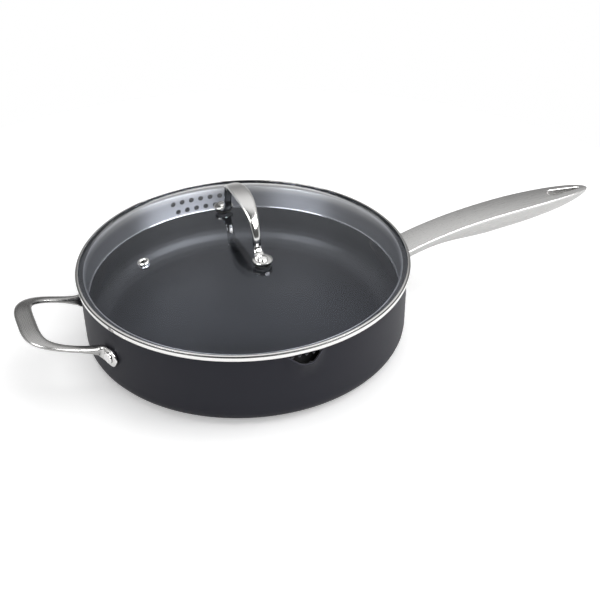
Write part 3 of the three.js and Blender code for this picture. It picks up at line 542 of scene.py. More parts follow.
tree, place = new_finish("clear_glass")
glass = principled(
    tree,
    Base_Color=GLASS_TINT,
    Specular_Tint=GLASS_SHEEN_TINT,
    Roughness=0.0,
    IOR=GLASS_IOR,
    Transmission_Weight=1.0,
    Normal=tree.bump(tree.noise(place, RIPPLE_SCALE, detail=1.0), RIPPLE_HEIGHT),
)
film = tree.node("BsdfTransparent", {}, {"Color": FILM_TINT})["BSDF"]
ray = tree.node("LightPath")
bounced = ray["Is Glossy Ray"] - ray["Is Transmission Ray"]
passing = bounced.maths("MAXIMUM", ray["Is Shadow Ray"])
clear_glass = close_finish(tree, tree.either(passing, glass, film))

# %% [markdown]
# The pan is one pressed shell: sole, a round corner, a nearly upright wall, a rounded rim, and back
# down inside. A turned profile gives all of it. The two pouring spouts are then drawn from the rim, as
# a press would do it: near the spout's middle the wall moves outwards and down, by a share that fades
# to nothing at its sides.

# %% Pan: wall and spouts
PAN_RADIUS, PAN_HEIGHT, WALL, WALL_LEAN = 142.3, 64.4, 2.8, 1.0
SPOUT_WIDTH, SPOUT_DROP, SPOUT_REACH, SPOUT_DEPTH, SPOUT_FLAT = 38.0, 7.5, 6.0, 26.0, 0.12


def wall_radius(height):
    """Outer radius of the wall, which leans out evenly towards the rim."""
    return PAN_RADIUS - WALL_LEAN * (1 - height / PAN_HEIGHT)


def draw_spouts(points):
    """Moves points by the spout's share: radius + reach * share * climb^2, height - drop * share * climb.

    The share is 1 at the spouts' middle, on +Y and -Y, and falls smoothly to 0 at half the spout's width.
    The climb is 0 below the spout's depth and 1 at the rim.
    """
    x, y, z = points.T
    azimuth, radius = np.arctan2(y, x), np.hypot(x, y)
    half = SPOUT_WIDTH / 2
    aside = np.abs(np.abs(azimuth) - math.pi / 2) * PAN_RADIUS
    share = 1 - smoothstep(aside, half * SPOUT_FLAT, half)
    climb = np.clip((z - (PAN_HEIGHT - SPOUT_DEPTH)) / SPOUT_DEPTH, 0, 1)
    radius = radius + SPOUT_REACH * share * climb ** 2
    height = z - SPOUT_DROP * share * climb
    return np.column_stack([radius * np.cos(azimuth), radius * np.sin(azimuth), height])


print("wall radius, mm:", round(wall_radius(0), 1), "at the foot and", PAN_RADIUS, "at the rim")

# %% [markdown]
# The profile starts under the sole, in the recess for the disc, runs up the outside, over the rim and
# back down to the middle of the floor. Steps round the pan are gathered at the spouts, where the shape
# changes fastest. Marks say which points are inside, and how much the foot and the rim are rubbed.

# %% Pan shell
SOLE, FLOOR_TOP = 0.5, 4.7
OUTER_CORNER, INNER_CORNER, RIM_CORNER = 12.0, 20.0, 1.38
DISC_RADIUS, DISC_THICKNESS, DISC_GAP, DISC_CLEAR = 108.0, 1.6, 0.6, 0.3
SHELL_STEPS, SHELL_SPAN, SPOUT_GATHER = 400, 2.5, 0.28
FOOT_RUB, RIM_RUB = 6.0, 1.2

recess, recess_top = DISC_RADIUS + DISC_GAP, DISC_THICKNESS + DISC_CLEAR
shell_line = soften([
    (0, recess_top, 0),
    (recess, recess_top, 0.4),
    (recess, SOLE, 0.3),
    (wall_radius(OUTER_CORNER), SOLE, OUTER_CORNER),
    (PAN_RADIUS, PAN_HEIGHT, RIM_CORNER),
    (PAN_RADIUS - WALL, PAN_HEIGHT, RIM_CORNER),
    (wall_radius(FLOOR_TOP + INNER_CORNER) - WALL, FLOOR_TOP, INNER_CORNER),
    (0, FLOOR_TOP, 0),
], SHELL_SPAN)
even = even_turn(SHELL_STEPS)
points, faces = turn_profile(shell_line, even + SPOUT_GATHER * np.sin(2 * even))
heights = shell_line[:, 1]
inside_line = (np.arange(len(heights)) > np.argmax(heights)).astype(float)
foot_rub = np.exp(-((heights - SOLE) / FOOT_RUB) ** 2)
rim_rub = np.exp(-((heights - PAN_HEIGHT) / RIM_RUB) ** 2)
rubbed_line = np.maximum(foot_rub, rim_rub) * (1 - inside_line)
marks = {"inside": np.tile(inside_line, SHELL_STEPS), "rubbed": np.tile(rubbed_line, SHELL_STEPS)}
make_piece("pan_shell", "pan_body", [(draw_spouts(points), faces, marks)], hard_anodised)

# %% [markdown]
# A steel disc is pressed into the sole so that the pan works on an induction hob. It is out of the
# photograph's view, but such discs have shallow turned rings, so the profile has a low wave.

# %% Sole disc
RING_PITCH, RING_DEPTH, RING_SAMPLES, DISC_STEPS = 6.0, 0.12, 220, 192
disc_radii = np.linspace(0, DISC_RADIUS - 0.5, RING_SAMPLES)
wave = 0.5 + 0.5 * np.cos(2 * math.pi * disc_radii / RING_PITCH)
wave = RING_DEPTH * wave * (disc_radii > RING_PITCH) * smoothstep(DISC_RADIUS - disc_radii, 3, 8)
disc_edge = soften([
    (DISC_RADIUS - 0.4, 0, 0),
    (DISC_RADIUS, 0, 0.35),
    (DISC_RADIUS, DISC_THICKNESS, 0.1),
    (0, DISC_THICKNESS, 0),
], 20)
disc_line = np.vstack([np.column_stack([disc_radii, wave]), disc_edge])
points, faces = turn_profile(disc_line, even_turn(DISC_STEPS))
make_piece("sole_disc", "base_disc", [(points, faces, {})], turned_steel)

# %% [markdown]
# The long handle is a steel casting: a flat satin top with softened edges over a rounded belly, swept
# up from the wall and closed in an oval nose, with a teardrop slot to hang it by. Seen from above it is
# a flat sheet with one hole, so it is made as two sheets, top and belly, over one plan. The plan comes
# first, with the slot's outline.

# %% Long handle: plan
HANDLE_LENGTH, ROOT_HEIGHT, TIP_HEIGHT, SWEEP = 209.3, 43.4, 65.8, 3.17
HANDLE_WIDTH, ROOT_FLARE, FLARE_LENGTH = 30.2, 7.0, 5.0
ROOT_DEPTH, HANDLE_DEPTH, SWELL_START, SWELL_END = 12.3, 20.9, 0.14, 0.48
NOSE, NOSE_TAPER, NOSE_THINNING, TIP_SINK, TIP_GATHER = 96.0, 0.45, 0.59, 1.25, 6
SLOT_WIDTH, SLOT_LENGTH, SLOT_TIP, SLOT_TO_END, SLOT_EDGE = 10.8, 35.0, 2.8, 8.5, 0.8
HANDLE_TIP = PAN_RADIUS + HANDLE_LENGTH
SLOT_RUN = SLOT_LENGTH - (SLOT_WIDTH + SLOT_TIP) / 2
SLOT_START = HANDLE_TIP - SLOT_TO_END - SLOT_TIP / 2 - SLOT_RUN
SLOT_SLANT = (SLOT_WIDTH - SLOT_TIP) / 2 / SLOT_RUN
SLOT_LEVEL = math.sqrt(1 - SLOT_SLANT ** 2)


def handle_form(x):
    """Top height, half width and depth of the long handle at a reach x.

    The top rises by 1 - (1 - share)^sweep, the width flares at the wall as e^(-distance), and the nose closes
    the width and the depth by powers of 1 - nose^2.
    """
    share = np.clip((x - PAN_RADIUS) / HANDLE_LENGTH, 0, 1)
    nose = np.clip((x - (HANDLE_TIP - NOSE)) / NOSE, 0, 0.99995)
    closing = 1 - nose ** 2
    rise = (TIP_HEIGHT - ROOT_HEIGHT) * (1 - (1 - share) ** SWEEP)
    top = ROOT_HEIGHT + rise - TIP_SINK * nose ** TIP_GATHER
    flare = ROOT_FLARE * np.exp(-np.maximum(0, x - PAN_RADIUS) / FLARE_LENGTH)
    depth = ROOT_DEPTH + (HANDLE_DEPTH - ROOT_DEPTH) * smoothstep(share, SWELL_START, SWELL_END)
    return top, HANDLE_WIDTH / 2 * closing ** NOSE_TAPER + flare / 2, depth * closing ** NOSE_THINNING


def slot_distance(x, y):
    """Distance outside a teardrop: two circles of unlike radius and the lines that touch both."""
    along, across = x - SLOT_START, np.abs(y)
    lean = along * SLOT_LEVEL - across * SLOT_SLANT
    broad = np.hypot(along, across) - SLOT_WIDTH / 2
    narrow = np.hypot(along - SLOT_RUN, across) - SLOT_TIP / 2
    straight = across * SLOT_LEVEL + along * SLOT_SLANT - SLOT_WIDTH / 2
    return np.where(lean < 0, broad, np.where(lean > SLOT_RUN * SLOT_LEVEL, narrow, straight))


def slot_half_width(x):
    """Half width of the teardrop slot at x: its two arcs and the straight line between them."""
    along = x - SLOT_START
    broad = np.sqrt(np.maximum(0, (SLOT_WIDTH / 2) ** 2 - along ** 2))
    narrow = np.sqrt(np.maximum(0, (SLOT_TIP / 2) ** 2 - (along - SLOT_RUN) ** 2))
    straight = (SLOT_WIDTH / 2 - along * SLOT_SLANT) / SLOT_LEVEL
    middle = (along > SLOT_WIDTH / 2 * SLOT_SLANT) & (along < SLOT_RUN + SLOT_TIP / 2 * SLOT_SLANT)
    return np.where(middle, straight, np.where(along < SLOT_RUN / 2, broad, narrow))


print("hanging slot:", SLOT_LENGTH, "by", SLOT_WIDTH, "mm")

# %% [markdown]
# Over its plan the handle is two heights. The top is slightly crowned, and it rounds off at its edge
# and round the slot by quarter ellipses. The belly is a superellipse, fuller than a round bar, as cast
# handles are.

# %% Long handle: heights
EDGE, CROWN, BELLY = 0.7, 0.5, 2.4


def handle_heights(x, y):
    """Top and belly over the plan. Edges are quarter ellipses and the belly a superellipse."""
    top, half, depth = handle_form(x)
    edge = np.minimum(np.minimum(EDGE, depth / 4), half / 3)
    past = np.clip((np.abs(y) - (half - edge)) / edge, 0, 1)
    upper = top + CROWN * edge / EDGE * (1 - (y / half) ** 2) - edge * (1 - np.sqrt(1 - past ** 2))
    near_slot = np.clip(1 - slot_distance(x, y) / SLOT_EDGE, 0, 1)
    upper = upper - SLOT_EDGE * (1 - np.sqrt(np.maximum(0, 1 - near_slot ** 2)))
    belly = np.maximum(0, 1 - np.abs(y / half) ** BELLY) ** (1 / BELLY)
    return upper, top - edge - (depth - edge) * belly


top, bottom = handle_heights(np.array([PAN_RADIUS + 100]), np.zeros(1))
print("100 mm out the handle is", round(float(top[0] - bottom[0]), 1), "mm deep")

# %% [markdown]
# The plan's grid needs more lines where the outline turns quickly, at the slot's ends and at the nose,
# so stations along the handle are gathered there. Across, each half runs from the edge of the slot, or
# from the middle line where there is no slot, to the outer edge.

# %% Long handle: stations
ROOT_GAP, ROOT_GATHER, SLOT_LEAD, TIP_GAP = 1.2, 1.3, 2.0, 0.02
BODY_STATIONS, LEAD_STATIONS, SLOT_STATIONS, TIP_STATIONS, HALF_STEPS = 70, 8, 64, 26, 34


def gathered(count):
    """Shares from 0 to 1 that lie closer at both ends: (1 - cos) / 2 over half a turn."""
    return (1 - np.cos(np.linspace(0, math.pi, count))) / 2


root = PAN_RADIUS + ROOT_GAP
slot_near, slot_far = SLOT_START - SLOT_WIDTH / 2, SLOT_START + SLOT_RUN + SLOT_TIP / 2
lead = slot_near - SLOT_LEAD
reaches = np.concatenate([
    root + (lead - root) * np.linspace(0, 1, BODY_STATIONS, endpoint=False) ** ROOT_GATHER,
    np.linspace(lead, slot_near, LEAD_STATIONS, endpoint=False),
    slot_near + (slot_far - slot_near) * gathered(SLOT_STATIONS),
    slot_far + (HANDLE_TIP - slot_far - TIP_GAP) * np.sin(np.linspace(0, math.pi / 2, TIP_STATIONS)[1:]),
])
across = gathered(HALF_STEPS)
_, half_widths, _ = handle_form(reaches)
inner = slot_half_width(reaches)
plan_y = inner[:, None] + (half_widths - inner)[:, None] * across
plan_x = np.broadcast_to(reaches[:, None], plan_y.shape)
print("long handle:", len(reaches), "stations,", len(across), "across each half")

# %% [markdown]
# The casting spreads into a flange that is riveted to the wall. The flange is an oblong with round
# ends, bent round the pan: it is laid out flat, by rings from its middle line to its edge, and then
# wrapped, so that its width becomes an azimuth and its thickness a radius. Top and belly become one
# closed skin, and a mark paints shade on the belly.

# %% Long handle: flange and piece
FLANGE_WIDTH, FLANGE_HEIGHT, FLANGE_THICKNESS, FLANGE_LEVEL = 66.0, 21.0, 3.6, 37.0
FLANGE_EDGE, PLATE_STEPS = 1.2, 96
SEAT_GAP, BELLY_PAINTED_SHADE = 0.3, 0.4


def wrapped_plate(width, height, thickness, level, edge):
    """An oblong plate on the wall about azimuth 0. Rings run from its middle line to its rounded edge."""
    around = even_turn(PLATE_STEPS)
    share = np.r_[0, np.linspace(0.2, 1, 9)]
    curve = np.linspace(0, math.pi / 2, ARC_STEPS)[1:]
    reach = np.r_[share * (height / 2 - edge), height / 2 - edge + edge * np.sin(curve)]
    rise = np.r_[np.full(len(share), thickness), thickness - edge * (1 - np.cos(curve))]
    reach, rise = np.r_[reach, reach[::-1]], np.r_[rise, np.zeros(len(reach))]
    middle = np.sign(np.cos(around)) * (width - height) / 2
    flat_y = middle[None, :] + reach[:, None] * np.cos(around)
    flat_z = level + reach[:, None] * np.sin(around)
    radius = wall_radius(flat_z) + SEAT_GAP + rise[:, None]
    azimuth = flat_y / PAN_RADIUS
    points = np.stack([radius * np.cos(azimuth), radius * np.sin(azimuth), flat_z], -1).reshape(-1, 3)
    path = np.stack([flat_y, flat_z, 0 * flat_z], -1).reshape(-1, 3)
    return points, grid_faces(len(reach), len(around), False, True), {"path": path}


plan = np.vstack([np.stack([plan_x, side * plan_y], -1).reshape(-1, 2) for side in (1, -1)])
half_faces = grid_faces(*plan_y.shape)
plan_faces = np.vstack([half_faces, half_faces[:, ::-1] + plan_y.size])
kept, plan_faces = weld(plan, plan_faces)
plan = plan[kept]
upper, lower = handle_heights(*plan.T)
points, faces = close_sheet(np.column_stack([plan, upper]), np.column_stack([plan, lower]), plan_faces)
# The belly's points carry painted shade, which darkens their colour; the top carries none.
marks = {"path": points, "shade": np.repeat([0, BELLY_PAINTED_SHADE], len(plan))}
flange = wrapped_plate(FLANGE_WIDTH, FLANGE_HEIGHT, FLANGE_THICKNESS, FLANGE_LEVEL, FLANGE_EDGE)
make_piece("cast_handle", "long_handle", [(points, faces, marks), flange], satin_handle)

# %% [markdown]
# The helper handle and the lid's handle are each one section carried along a path. Such a sweep needs a
# path in even steps, a size and a squareness at each step, and an upright that keeps the section from
# twisting. Both handles are the same on either side of the pan's middle plane, so half a path is laid
# out, mirrored, evened out and smoothed.

# %% Carry a section along a path
SECTION_STEPS = 44


def with_tips(rows):
    """The rows with the first and the last one doubled, for the points that close a sweep."""
    return np.concatenate([rows[:1], rows, rows[-1:]])


def resample(columns, count, smooth):
    """Rows at even steps along a line, each then averaged with its neighbours by a bell that wide."""
    length = np.r_[0, np.cumsum(np.linalg.norm(np.diff(columns[:, :3], axis=0), axis=1))]
    even = np.linspace(0, length[-1], count)
    rows = np.column_stack([np.interp(even, length, column) for column in columns.T])
    bell = np.exp(-0.5 * (np.arange(-3 * smooth, 3 * smooth + 1) / smooth) ** 2)
    bell /= bell.sum()
    before, after = rows[3 * smooth:0:-1], rows[-2:-3 * smooth - 2:-1]
    padded = np.vstack([2 * rows[0] - before, rows, 2 * rows[-1] - after])
    return np.column_stack([np.convolve(column, bell, "valid") for column in padded.T])


def carry_section(centre, half_width, half_height, squareness, upright):
    """A superellipse carried along a path.

    Across is w sign(cos) |cos|^(2/n) along the side and h sign(sin) |sin|^(2/n) along the normal. The side is
    square to the path and to its upright, a function of the way along. Both ends close in a point.
    """
    along = np.gradient(centre, axis=0)
    along /= np.linalg.norm(along, axis=1, keepdims=True)
    side = np.cross(along, upright(along))
    side /= np.linalg.norm(side, axis=1, keepdims=True)
    normal = np.cross(side, along)
    angle = even_turn(SECTION_STEPS) + math.pi / SECTION_STEPS
    power = 2 / squareness[:, None]
    cos, sin = np.cos(angle), np.sin(angle)
    out = half_width[:, None] * np.sign(cos) * np.abs(cos) ** power
    up = half_height[:, None] * np.sign(sin) * np.abs(sin) ** power
    points = centre[:, None] + side[:, None] * out[..., None] + normal[:, None] * up[..., None]
    tips = np.repeat(centre[[0, -1]][:, None], SECTION_STEPS, axis=1)
    points = np.concatenate([tips[:1], points, tips[1:]])
    length = np.r_[0, np.cumsum(np.linalg.norm(np.diff(centre, axis=0), axis=1))]
    girth = out + 0.5 * up
    path = with_tips(np.stack([np.broadcast_to(length[:, None], girth.shape), girth, 0 * girth], -1))
    return points.reshape(-1, 3), grid_faces(*points.shape[:2], False, True), path.reshape(-1, 3)


def sweep_both_halves(half_rows, count, smooth, upright, least=0.0):
    """A skin swept along half a path and its mirror image in y, with its marks.

    A row is a place, half a width, half a height, a squareness and a polish. No half size is under the least.
    """
    mirrored = half_rows[-2::-1] * [1, -1, 1, 1, 1, 1, 1]
    rows = resample(np.vstack([half_rows, mirrored]), count, smooth)
    rows[:, 3:5] = np.maximum(rows[:, 3:5], least)
    points, faces, path = carry_section(rows[:, :3], *rows.T[3:6], upright)
    return points, faces, {"path": path, "polish": np.repeat(with_tips(rows[:, 6]), SECTION_STEPS)}


print("sections are carried in", SECTION_STEPS, "steps round")

# %% [markdown]
# The helper handle is a bent loop: two slim legs that climb from the wall and a broad flat grip. Each
# leg turns along the wall into a pad that ends round about its rivet. The section is upright and thin
# on the pad, nearly round on the leg, and wide and low on the grip. The pad comes first, from its round
# end: there its half height is the chord of a circle, and past the rivet it tapers.

# %% Helper loop: pad
LOOP_SPREAD = 79.8
PAD_HEIGHT, PAD_NARROW, PAD_THICKNESS, PAD_LEVEL, PAD_SPACING = 16.4, 14.0, 3.4, 36.2, 98.0
PAD_END, PAD_FILLET, PAD_ROUND, PAD_TAPER = 1.8, 6.0, 0.8, 10.9
PAD_SQUARENESS, PAD_STATIONS, CORNER_SHARE = 4.0, 60, 0.73

pad_radius = wall_radius(PAD_LEVEL) + SEAT_GAP + PAD_THICKNESS / 2
pad_azimuth = math.asin(PAD_SPACING / 2 / PAN_RADIUS)
corner_azimuth = math.asin(LOOP_SPREAD / 2 / pad_radius)
pad_end = pad_azimuth + (PAD_END + PAD_HEIGHT / 2) / pad_radius
fillet_reach = CORNER_SHARE * PAD_FILLET

azimuth = np.linspace(pad_end, corner_azimuth + fillet_reach / pad_radius, PAD_STATIONS)
from_end = (pad_end - azimuth) * pad_radius
past_rivet = from_end - PAD_HEIGHT / 2
round_half = np.sqrt(np.maximum(0, (PAD_HEIGHT / 2) ** 2 - np.minimum(past_rivet, 0) ** 2))
pad_rows = np.column_stack([
    pad_radius * np.cos(azimuth),
    pad_radius * np.sin(azimuth),
    np.full(PAD_STATIONS, PAD_LEVEL),
    PAD_THICKNESS / 2 * np.sqrt(np.clip(from_end / PAD_ROUND, 0, 1)),
    round_half - np.maximum(0, past_rivet) * (PAD_HEIGHT - PAD_NARROW) / 2 / PAD_TAPER,
    np.full(PAD_STATIONS, PAD_SQUARENESS),
    np.ones(PAD_STATIONS),
])
print("pad:", len(pad_rows), "stations")

# %% [markdown]
# Legs and grip are half of a superellipse seen from above, squarer than an ellipse, that climbs as it
# goes out. How near a station is to the middle of the grip decides its section.

# %% Helper loop: leg and grip
LOOP_REACH, LOOP_SQUARENESS = 49.1, 3.9
LOOP_ROOT, LOOP_RISE, LOOP_LEVELLING = 38.8, 17.0, 1.04
GRIP_WIDTH, LEG_WIDTH, GRIP_THICKNESS, LEG_THICKNESS, GRIP_GATHER = 15.4, 7.6, 4.4, 4.3, 2.75
LEG_FLARE, FLARE_GATHER = 5.0, 20
LEG_SQUARENESS, GRIP_SQUARENESS, LEG_SHARE = 2.5, 2.9, 0.9
LEG_STATIONS, GRIP_STATIONS = 90, 200

corner = np.array([pad_radius * math.cos(corner_azimuth), LOOP_SPREAD / 2])
loop_foot = math.sqrt(PAN_RADIUS ** 2 - (LOOP_SPREAD / 2) ** 2)
loop_grip = PAN_RADIUS + LOOP_REACH
out_start = (corner[0] + fillet_reach - loop_foot) / (loop_grip - loop_foot)
out = np.r_[
    np.linspace(out_start, LEG_SHARE, LEG_STATIONS),
    1 - (1 - LEG_SHARE) * np.linspace(1, 0, GRIP_STATIONS)[1:] ** 3,
]
turn_sine = out ** (LOOP_SQUARENESS / 2)
aside = np.maximum(0, 1 - turn_sine ** 2) ** (1 / LOOP_SQUARENESS)
fullness = turn_sine ** GRIP_GATHER
loop_thickness = LEG_THICKNESS + (GRIP_THICKNESS - LEG_THICKNESS) * fullness
loop_rows = np.column_stack([
    loop_foot + (loop_grip - loop_foot) * out,
    LOOP_SPREAD / 2 * aside,
    LOOP_ROOT + LOOP_RISE * (1 - (1 - out) ** LOOP_LEVELLING) - loop_thickness / 2,
    (LEG_WIDTH + (GRIP_WIDTH - LEG_WIDTH) * fullness) / 2,
    (loop_thickness + LEG_FLARE * (1 - turn_sine) ** FLARE_GATHER) / 2,
    LEG_SQUARENESS + (GRIP_SQUARENESS - LEG_SQUARENESS) * fullness,
    np.zeros(len(out)),
])
print("leg and grip:", len(loop_rows), "stations")

# %% [markdown]
# A short curve with one control point joins pad and leg, as the bent bar does. The loop is laid out on
# the long handle's side, and then turned to its own, half a turn about the upright axis.

# %% Helper loop
BEND_STATIONS, LOOP_STATIONS, LOOP_SMOOTH = 22, 420, 3

share = np.linspace(0, 1, BEND_STATIONS)[1:-1, None]
first, last = pad_rows[-1], loop_rows[0]
bend = (1 - share) ** 2 * first[:2] + 2 * share * (1 - share) * corner + share ** 2 * last[:2]
bend_rows = np.column_stack([bend, first[2:] + (last[2:] - first[2:]) * smoothstep(share, 0, 1)])
half_rows = np.vstack([pad_rows, bend_rows, loop_rows])
points, faces, marks = sweep_both_halves(half_rows, LOOP_STATIONS, LOOP_SMOOTH, lambda along: [0, 0, 1])
make_piece("helper_loop", "helper_handle", [(points * [-1, -1, 1], faces, marks)], satin_loop_painted_shade)

# %% [markdown]
# Four rivets hold the handles: a low polished dome outside and a flatter, coated one inside the wall. A
# rivet is a turned profile. It is made about its own axis and then laid along the pan's radius, which
# is a change of axes: the rivet's height becomes a distance from the pan's middle.

# %% Wall rivets
RIVET_SHANK, RIVET_HEAD, RIVET_HEAD_HEIGHT = 6.0, 10.6, 1.7
RIVET_TAIL, RIVET_TAIL_HEIGHT, RIVET_SEAT = 11.0, 1.2, 0.6
RIVET_END, RIVET_BRIM = 9.0, 0.35
ROUND_STEPS, DOME_ARC = 64, 18


def rivet_line(shank, grip, head, head_height, tail, tail_height, brim):
    """Profile of a rivet: an elliptic tail below 0, a shank as long as the grip, and an elliptic head."""
    quarter = np.linspace(0, math.pi / 2, DOME_ARC)
    cos, sin = np.cos(quarter), np.sin(quarter)
    tail_arc = np.column_stack([tail / 2 * sin, -brim - (tail_height - brim) * cos])
    head_arc = np.column_stack([head / 2 * cos, grip + brim + (head_height - brim) * sin])
    neck = [(tail / 2, 0), (shank / 2, 0), (shank / 2, grip), (head / 2, grip)]
    return np.vstack([tail_arc, neck, head_arc])


def wall_rivet(name, node, azimuth, level, plate):
    """A rivet along the radius at an azimuth: its height runs outwards from its seat inside the wall."""
    seat = wall_radius(level) - WALL - RIVET_SEAT
    grip = RIVET_SEAT + WALL + plate + 2 * SEAT_GAP
    line = rivet_line(
        RIVET_SHANK, grip, RIVET_HEAD, RIVET_HEAD_HEIGHT, RIVET_TAIL, RIVET_TAIL_HEIGHT, RIVET_BRIM)
    points, faces = turn_profile(line, even_turn(ROUND_STEPS))
    coated = (points[:, 2] < TINY).astype(float)
    out, side, up = seat + points[:, 2], points[:, 1], points[:, 0]
    cos, sin = math.cos(azimuth), math.sin(azimuth)
    points = np.column_stack([out * cos - side * sin, out * sin + side * cos, level + up])
    make_piece(name, node, [(points, faces, {"coated": coated})], polished_steel)


flange_azimuth = math.asin((FLANGE_WIDTH / 2 - RIVET_END) / PAN_RADIUS)
for end, side in (("front", -1), ("back", 1)):
    name, node = "handle_rivet_" + end, "long_handle_rivet_" + end
    wall_rivet(name, node, side * flange_azimuth, FLANGE_LEVEL, FLANGE_THICKNESS)
for end, side in (("front", 1), ("back", -1)):
    name, node = "loop_rivet_" + end, "helper_rivet_" + end
    wall_rivet(name, node, math.pi + side * pad_azimuth, PAD_LEVEL, PAD_THICKNESS)

# %% [markdown]
# The lid's rim is a strip of steel rolled into a channel round the edge of the glass. Its wall is
# upright, its corners are round, a short lip holds the glass from above, and a long one rests on the
# pan's rim. A thin dark line runs round its upper corner, which a mark draws between two angles of that
# corner's arc.

# %% Rolled rim
RIM_SEAT = PAN_HEIGHT + SEAT_GAP
RIM_RADIUS, RIM_HEIGHT, RIM_SHEET, RIM_LIP, RIM_ROUND = 145.0, 5.4, 0.5, 2.6, 1.8
BAND_RADIUS, BAND_BEND = 136.6, 0.8
RING_STEPS, RIM_SPAN = 360, 0.15
LINE_FROM, LINE_TO, LINE_BLUR = 20, 58, 5

lower_lip = BAND_RADIUS + BAND_BEND + SEAT_GAP
rim_line = soften([
    (lower_lip, 0, 0.2),
    (RIM_RADIUS, 0, RIM_ROUND),
    (RIM_RADIUS, RIM_HEIGHT, RIM_ROUND),
    (RIM_RADIUS - RIM_LIP, RIM_HEIGHT, 0.22),
    (RIM_RADIUS - RIM_LIP, RIM_HEIGHT - RIM_SHEET, 0.2),
    (RIM_RADIUS - RIM_SHEET, RIM_HEIGHT - RIM_SHEET, RIM_ROUND - RIM_SHEET),
    (RIM_RADIUS - RIM_SHEET, RIM_SHEET, RIM_ROUND - RIM_SHEET),
    (lower_lip, RIM_SHEET, 0.2),
], RIM_SPAN, closed=True)
out, up = (rim_line - [RIM_RADIUS - RIM_ROUND, RIM_HEIGHT - RIM_ROUND]).T
climb = np.degrees(np.arctan2(up, out))
dark_line = smoothstep(climb, LINE_FROM, LINE_FROM + LINE_BLUR) * (out > 0)
dark_line *= 1 - smoothstep(climb, LINE_TO - LINE_BLUR, LINE_TO)
points, faces = turn_profile(rim_line + [0, RIM_SEAT], even_turn(RING_STEPS), closed=True)
marks = {"coated": np.tile(dark_line, RING_STEPS)}
make_piece("rolled_rim", "lid_rim_ring", [(points, faces, marks)], polished_steel)

# %% [markdown]
# A round hole doesn't fit the squares of a grid. A cutter object could punch it, but that leaves long,
# thin faces that shade badly. Here each hole has its own block of the grid: the block is taken out, and
# rings of points lead from its square outline to the round hole. The strainer and the glass both use
# this.

# %% Punch holes in a grid
HOLE_RINGS = 5


def punch(points, columns, faces, holes):
    """Replaces blocks of a grid that closes round by rings that lead from the block's outline to a round hole.

    A hole is (first row, last row, first column, last column, centre, radius). Ring points are an even
    mix of the outline's point and the point of the circle in the same direction from the centre.
    """
    row_of, column_of = faces[:, 0] // columns, faces[:, 0] % columns
    keep = np.ones(len(faces), bool)
    new_points, new_faces, count = [points], [], len(points)
    for top, bottom, left, right, centre, radius in holes:
        in_columns = (column_of - left) % columns < right - left
        keep &= ~((row_of >= top) & (row_of < bottom) & in_columns)
        down, over = np.arange(top, bottom), np.arange(left, right)
        rows = np.r_[np.full(len(over), top), down, np.full(len(over), bottom), down[::-1] + 1]
        cols = np.r_[over, np.full(len(down), right), over[::-1] + 1, np.full(len(down), left)] % columns
        outline = rows * columns + cols
        toward = points[outline] - centre
        circle = centre + radius * toward / np.linalg.norm(toward, axis=1, keepdims=True)
        share = np.linspace(0, 1, HOLE_RINGS + 1)[1:, None, None]
        new_points.append((points[outline] * (1 - share) + circle * share).reshape(-1, 2))
        added = np.arange(HOLE_RINGS * len(outline)).reshape(HOLE_RINGS, -1)
        index = np.vstack([outline, count + added])
        ahead = np.roll(index, -1, axis=1)
        new_faces.append(np.stack([index[:-1], index[1:], ahead[1:], ahead[:-1]], -1).reshape(-1, 4))
        count += added.size
    return np.vstack(new_points), np.vstack([faces[keep], *new_faces])


print("holes are punched in blocks of the grid")

# %% [markdown]
# The strainer is one strip of sheet: a flange under the glass, a tight bend, an upright skirt and a
# folded hem. Its profile is drawn as the others are, and the length down the profile becomes the
# strip's width. The rows of the grid are placed so that the blocks of the holes fit between them.

# %% Strainer: profile
BAND_FLANGE, BAND_SHEET, BAND_DROP, BAND_HEM = 0.8, 0.5, 21.4, 1.6
GLASS_RADIUS = 144.0
HOLE_ROW_TOP, HOLE_ROW_STEP = 6.4, 9.5
CELLS, ROW_GAP = 8, 0.3
BAND_SPAN, FLANGE_SPAN, BEND_REACH, HEM_GAP = 0.5, 0.9, 2.2, 0.2

half_sheet = BAND_SHEET / 2
middle_radius = BAND_RADIUS - half_sheet
fold = half_sheet + HEM_GAP
band_line = soften([
    (GLASS_RADIUS, BAND_FLANGE + half_sheet, 0),
    (middle_radius, BAND_FLANGE + half_sheet, BAND_BEND + half_sheet),
    (middle_radius, -BAND_DROP + half_sheet, fold),
    (middle_radius - 2 * fold, -BAND_DROP + half_sheet, fold),
    (middle_radius - 2 * fold, BAND_HEM - BAND_DROP, 0),
], BAND_SPAN)
line_length = np.r_[0, np.cumsum(np.linalg.norm(np.diff(band_line, axis=0), axis=1))]
skirt_top = np.argmax(np.abs(band_line[:, 0] - middle_radius) < TINY)
level_zero = line_length[skirt_top] + band_line[skirt_top, 1]
first_row = level_zero + HOLE_ROW_TOP - HOLE_ROW_STEP / 2
hole_rows = first_row + HOLE_ROW_STEP / CELLS * np.arange(2 * CELLS + 1)
before = line_length[line_length < first_row - ROW_GAP]
after = line_length[line_length > hole_rows[-1] + ROW_GAP]
spaced = np.r_[True, np.diff(np.floor(before / FLANGE_SPAN)) > 0]
before = before[spaced | (before > line_length[skirt_top] - BEND_REACH)]
stations = np.r_[before, hole_rows, after]
print("strainer strip:", round(float(line_length[-1]), 1), "mm wide")

# %% [markdown]
# Laid out flat, the strip is a rectangle of length round the lid by width down the profile. It has two
# patches of holes, coarse at the back and fine at the front, each of two staggered rows. Columns are
# spread evenly inside a patch, so that each hole gets its own block, and wider elsewhere.

# %% Strainer: grid and holes
COARSE_HOLE, COARSE_PITCH, COARSE_COUNTS = 5.1, 9.45, (6, 5)
FINE_HOLE, FINE_PITCH, FINE_COUNTS = 3.0, 6.0, (8, 7)
PLAIN_STEPS = 120

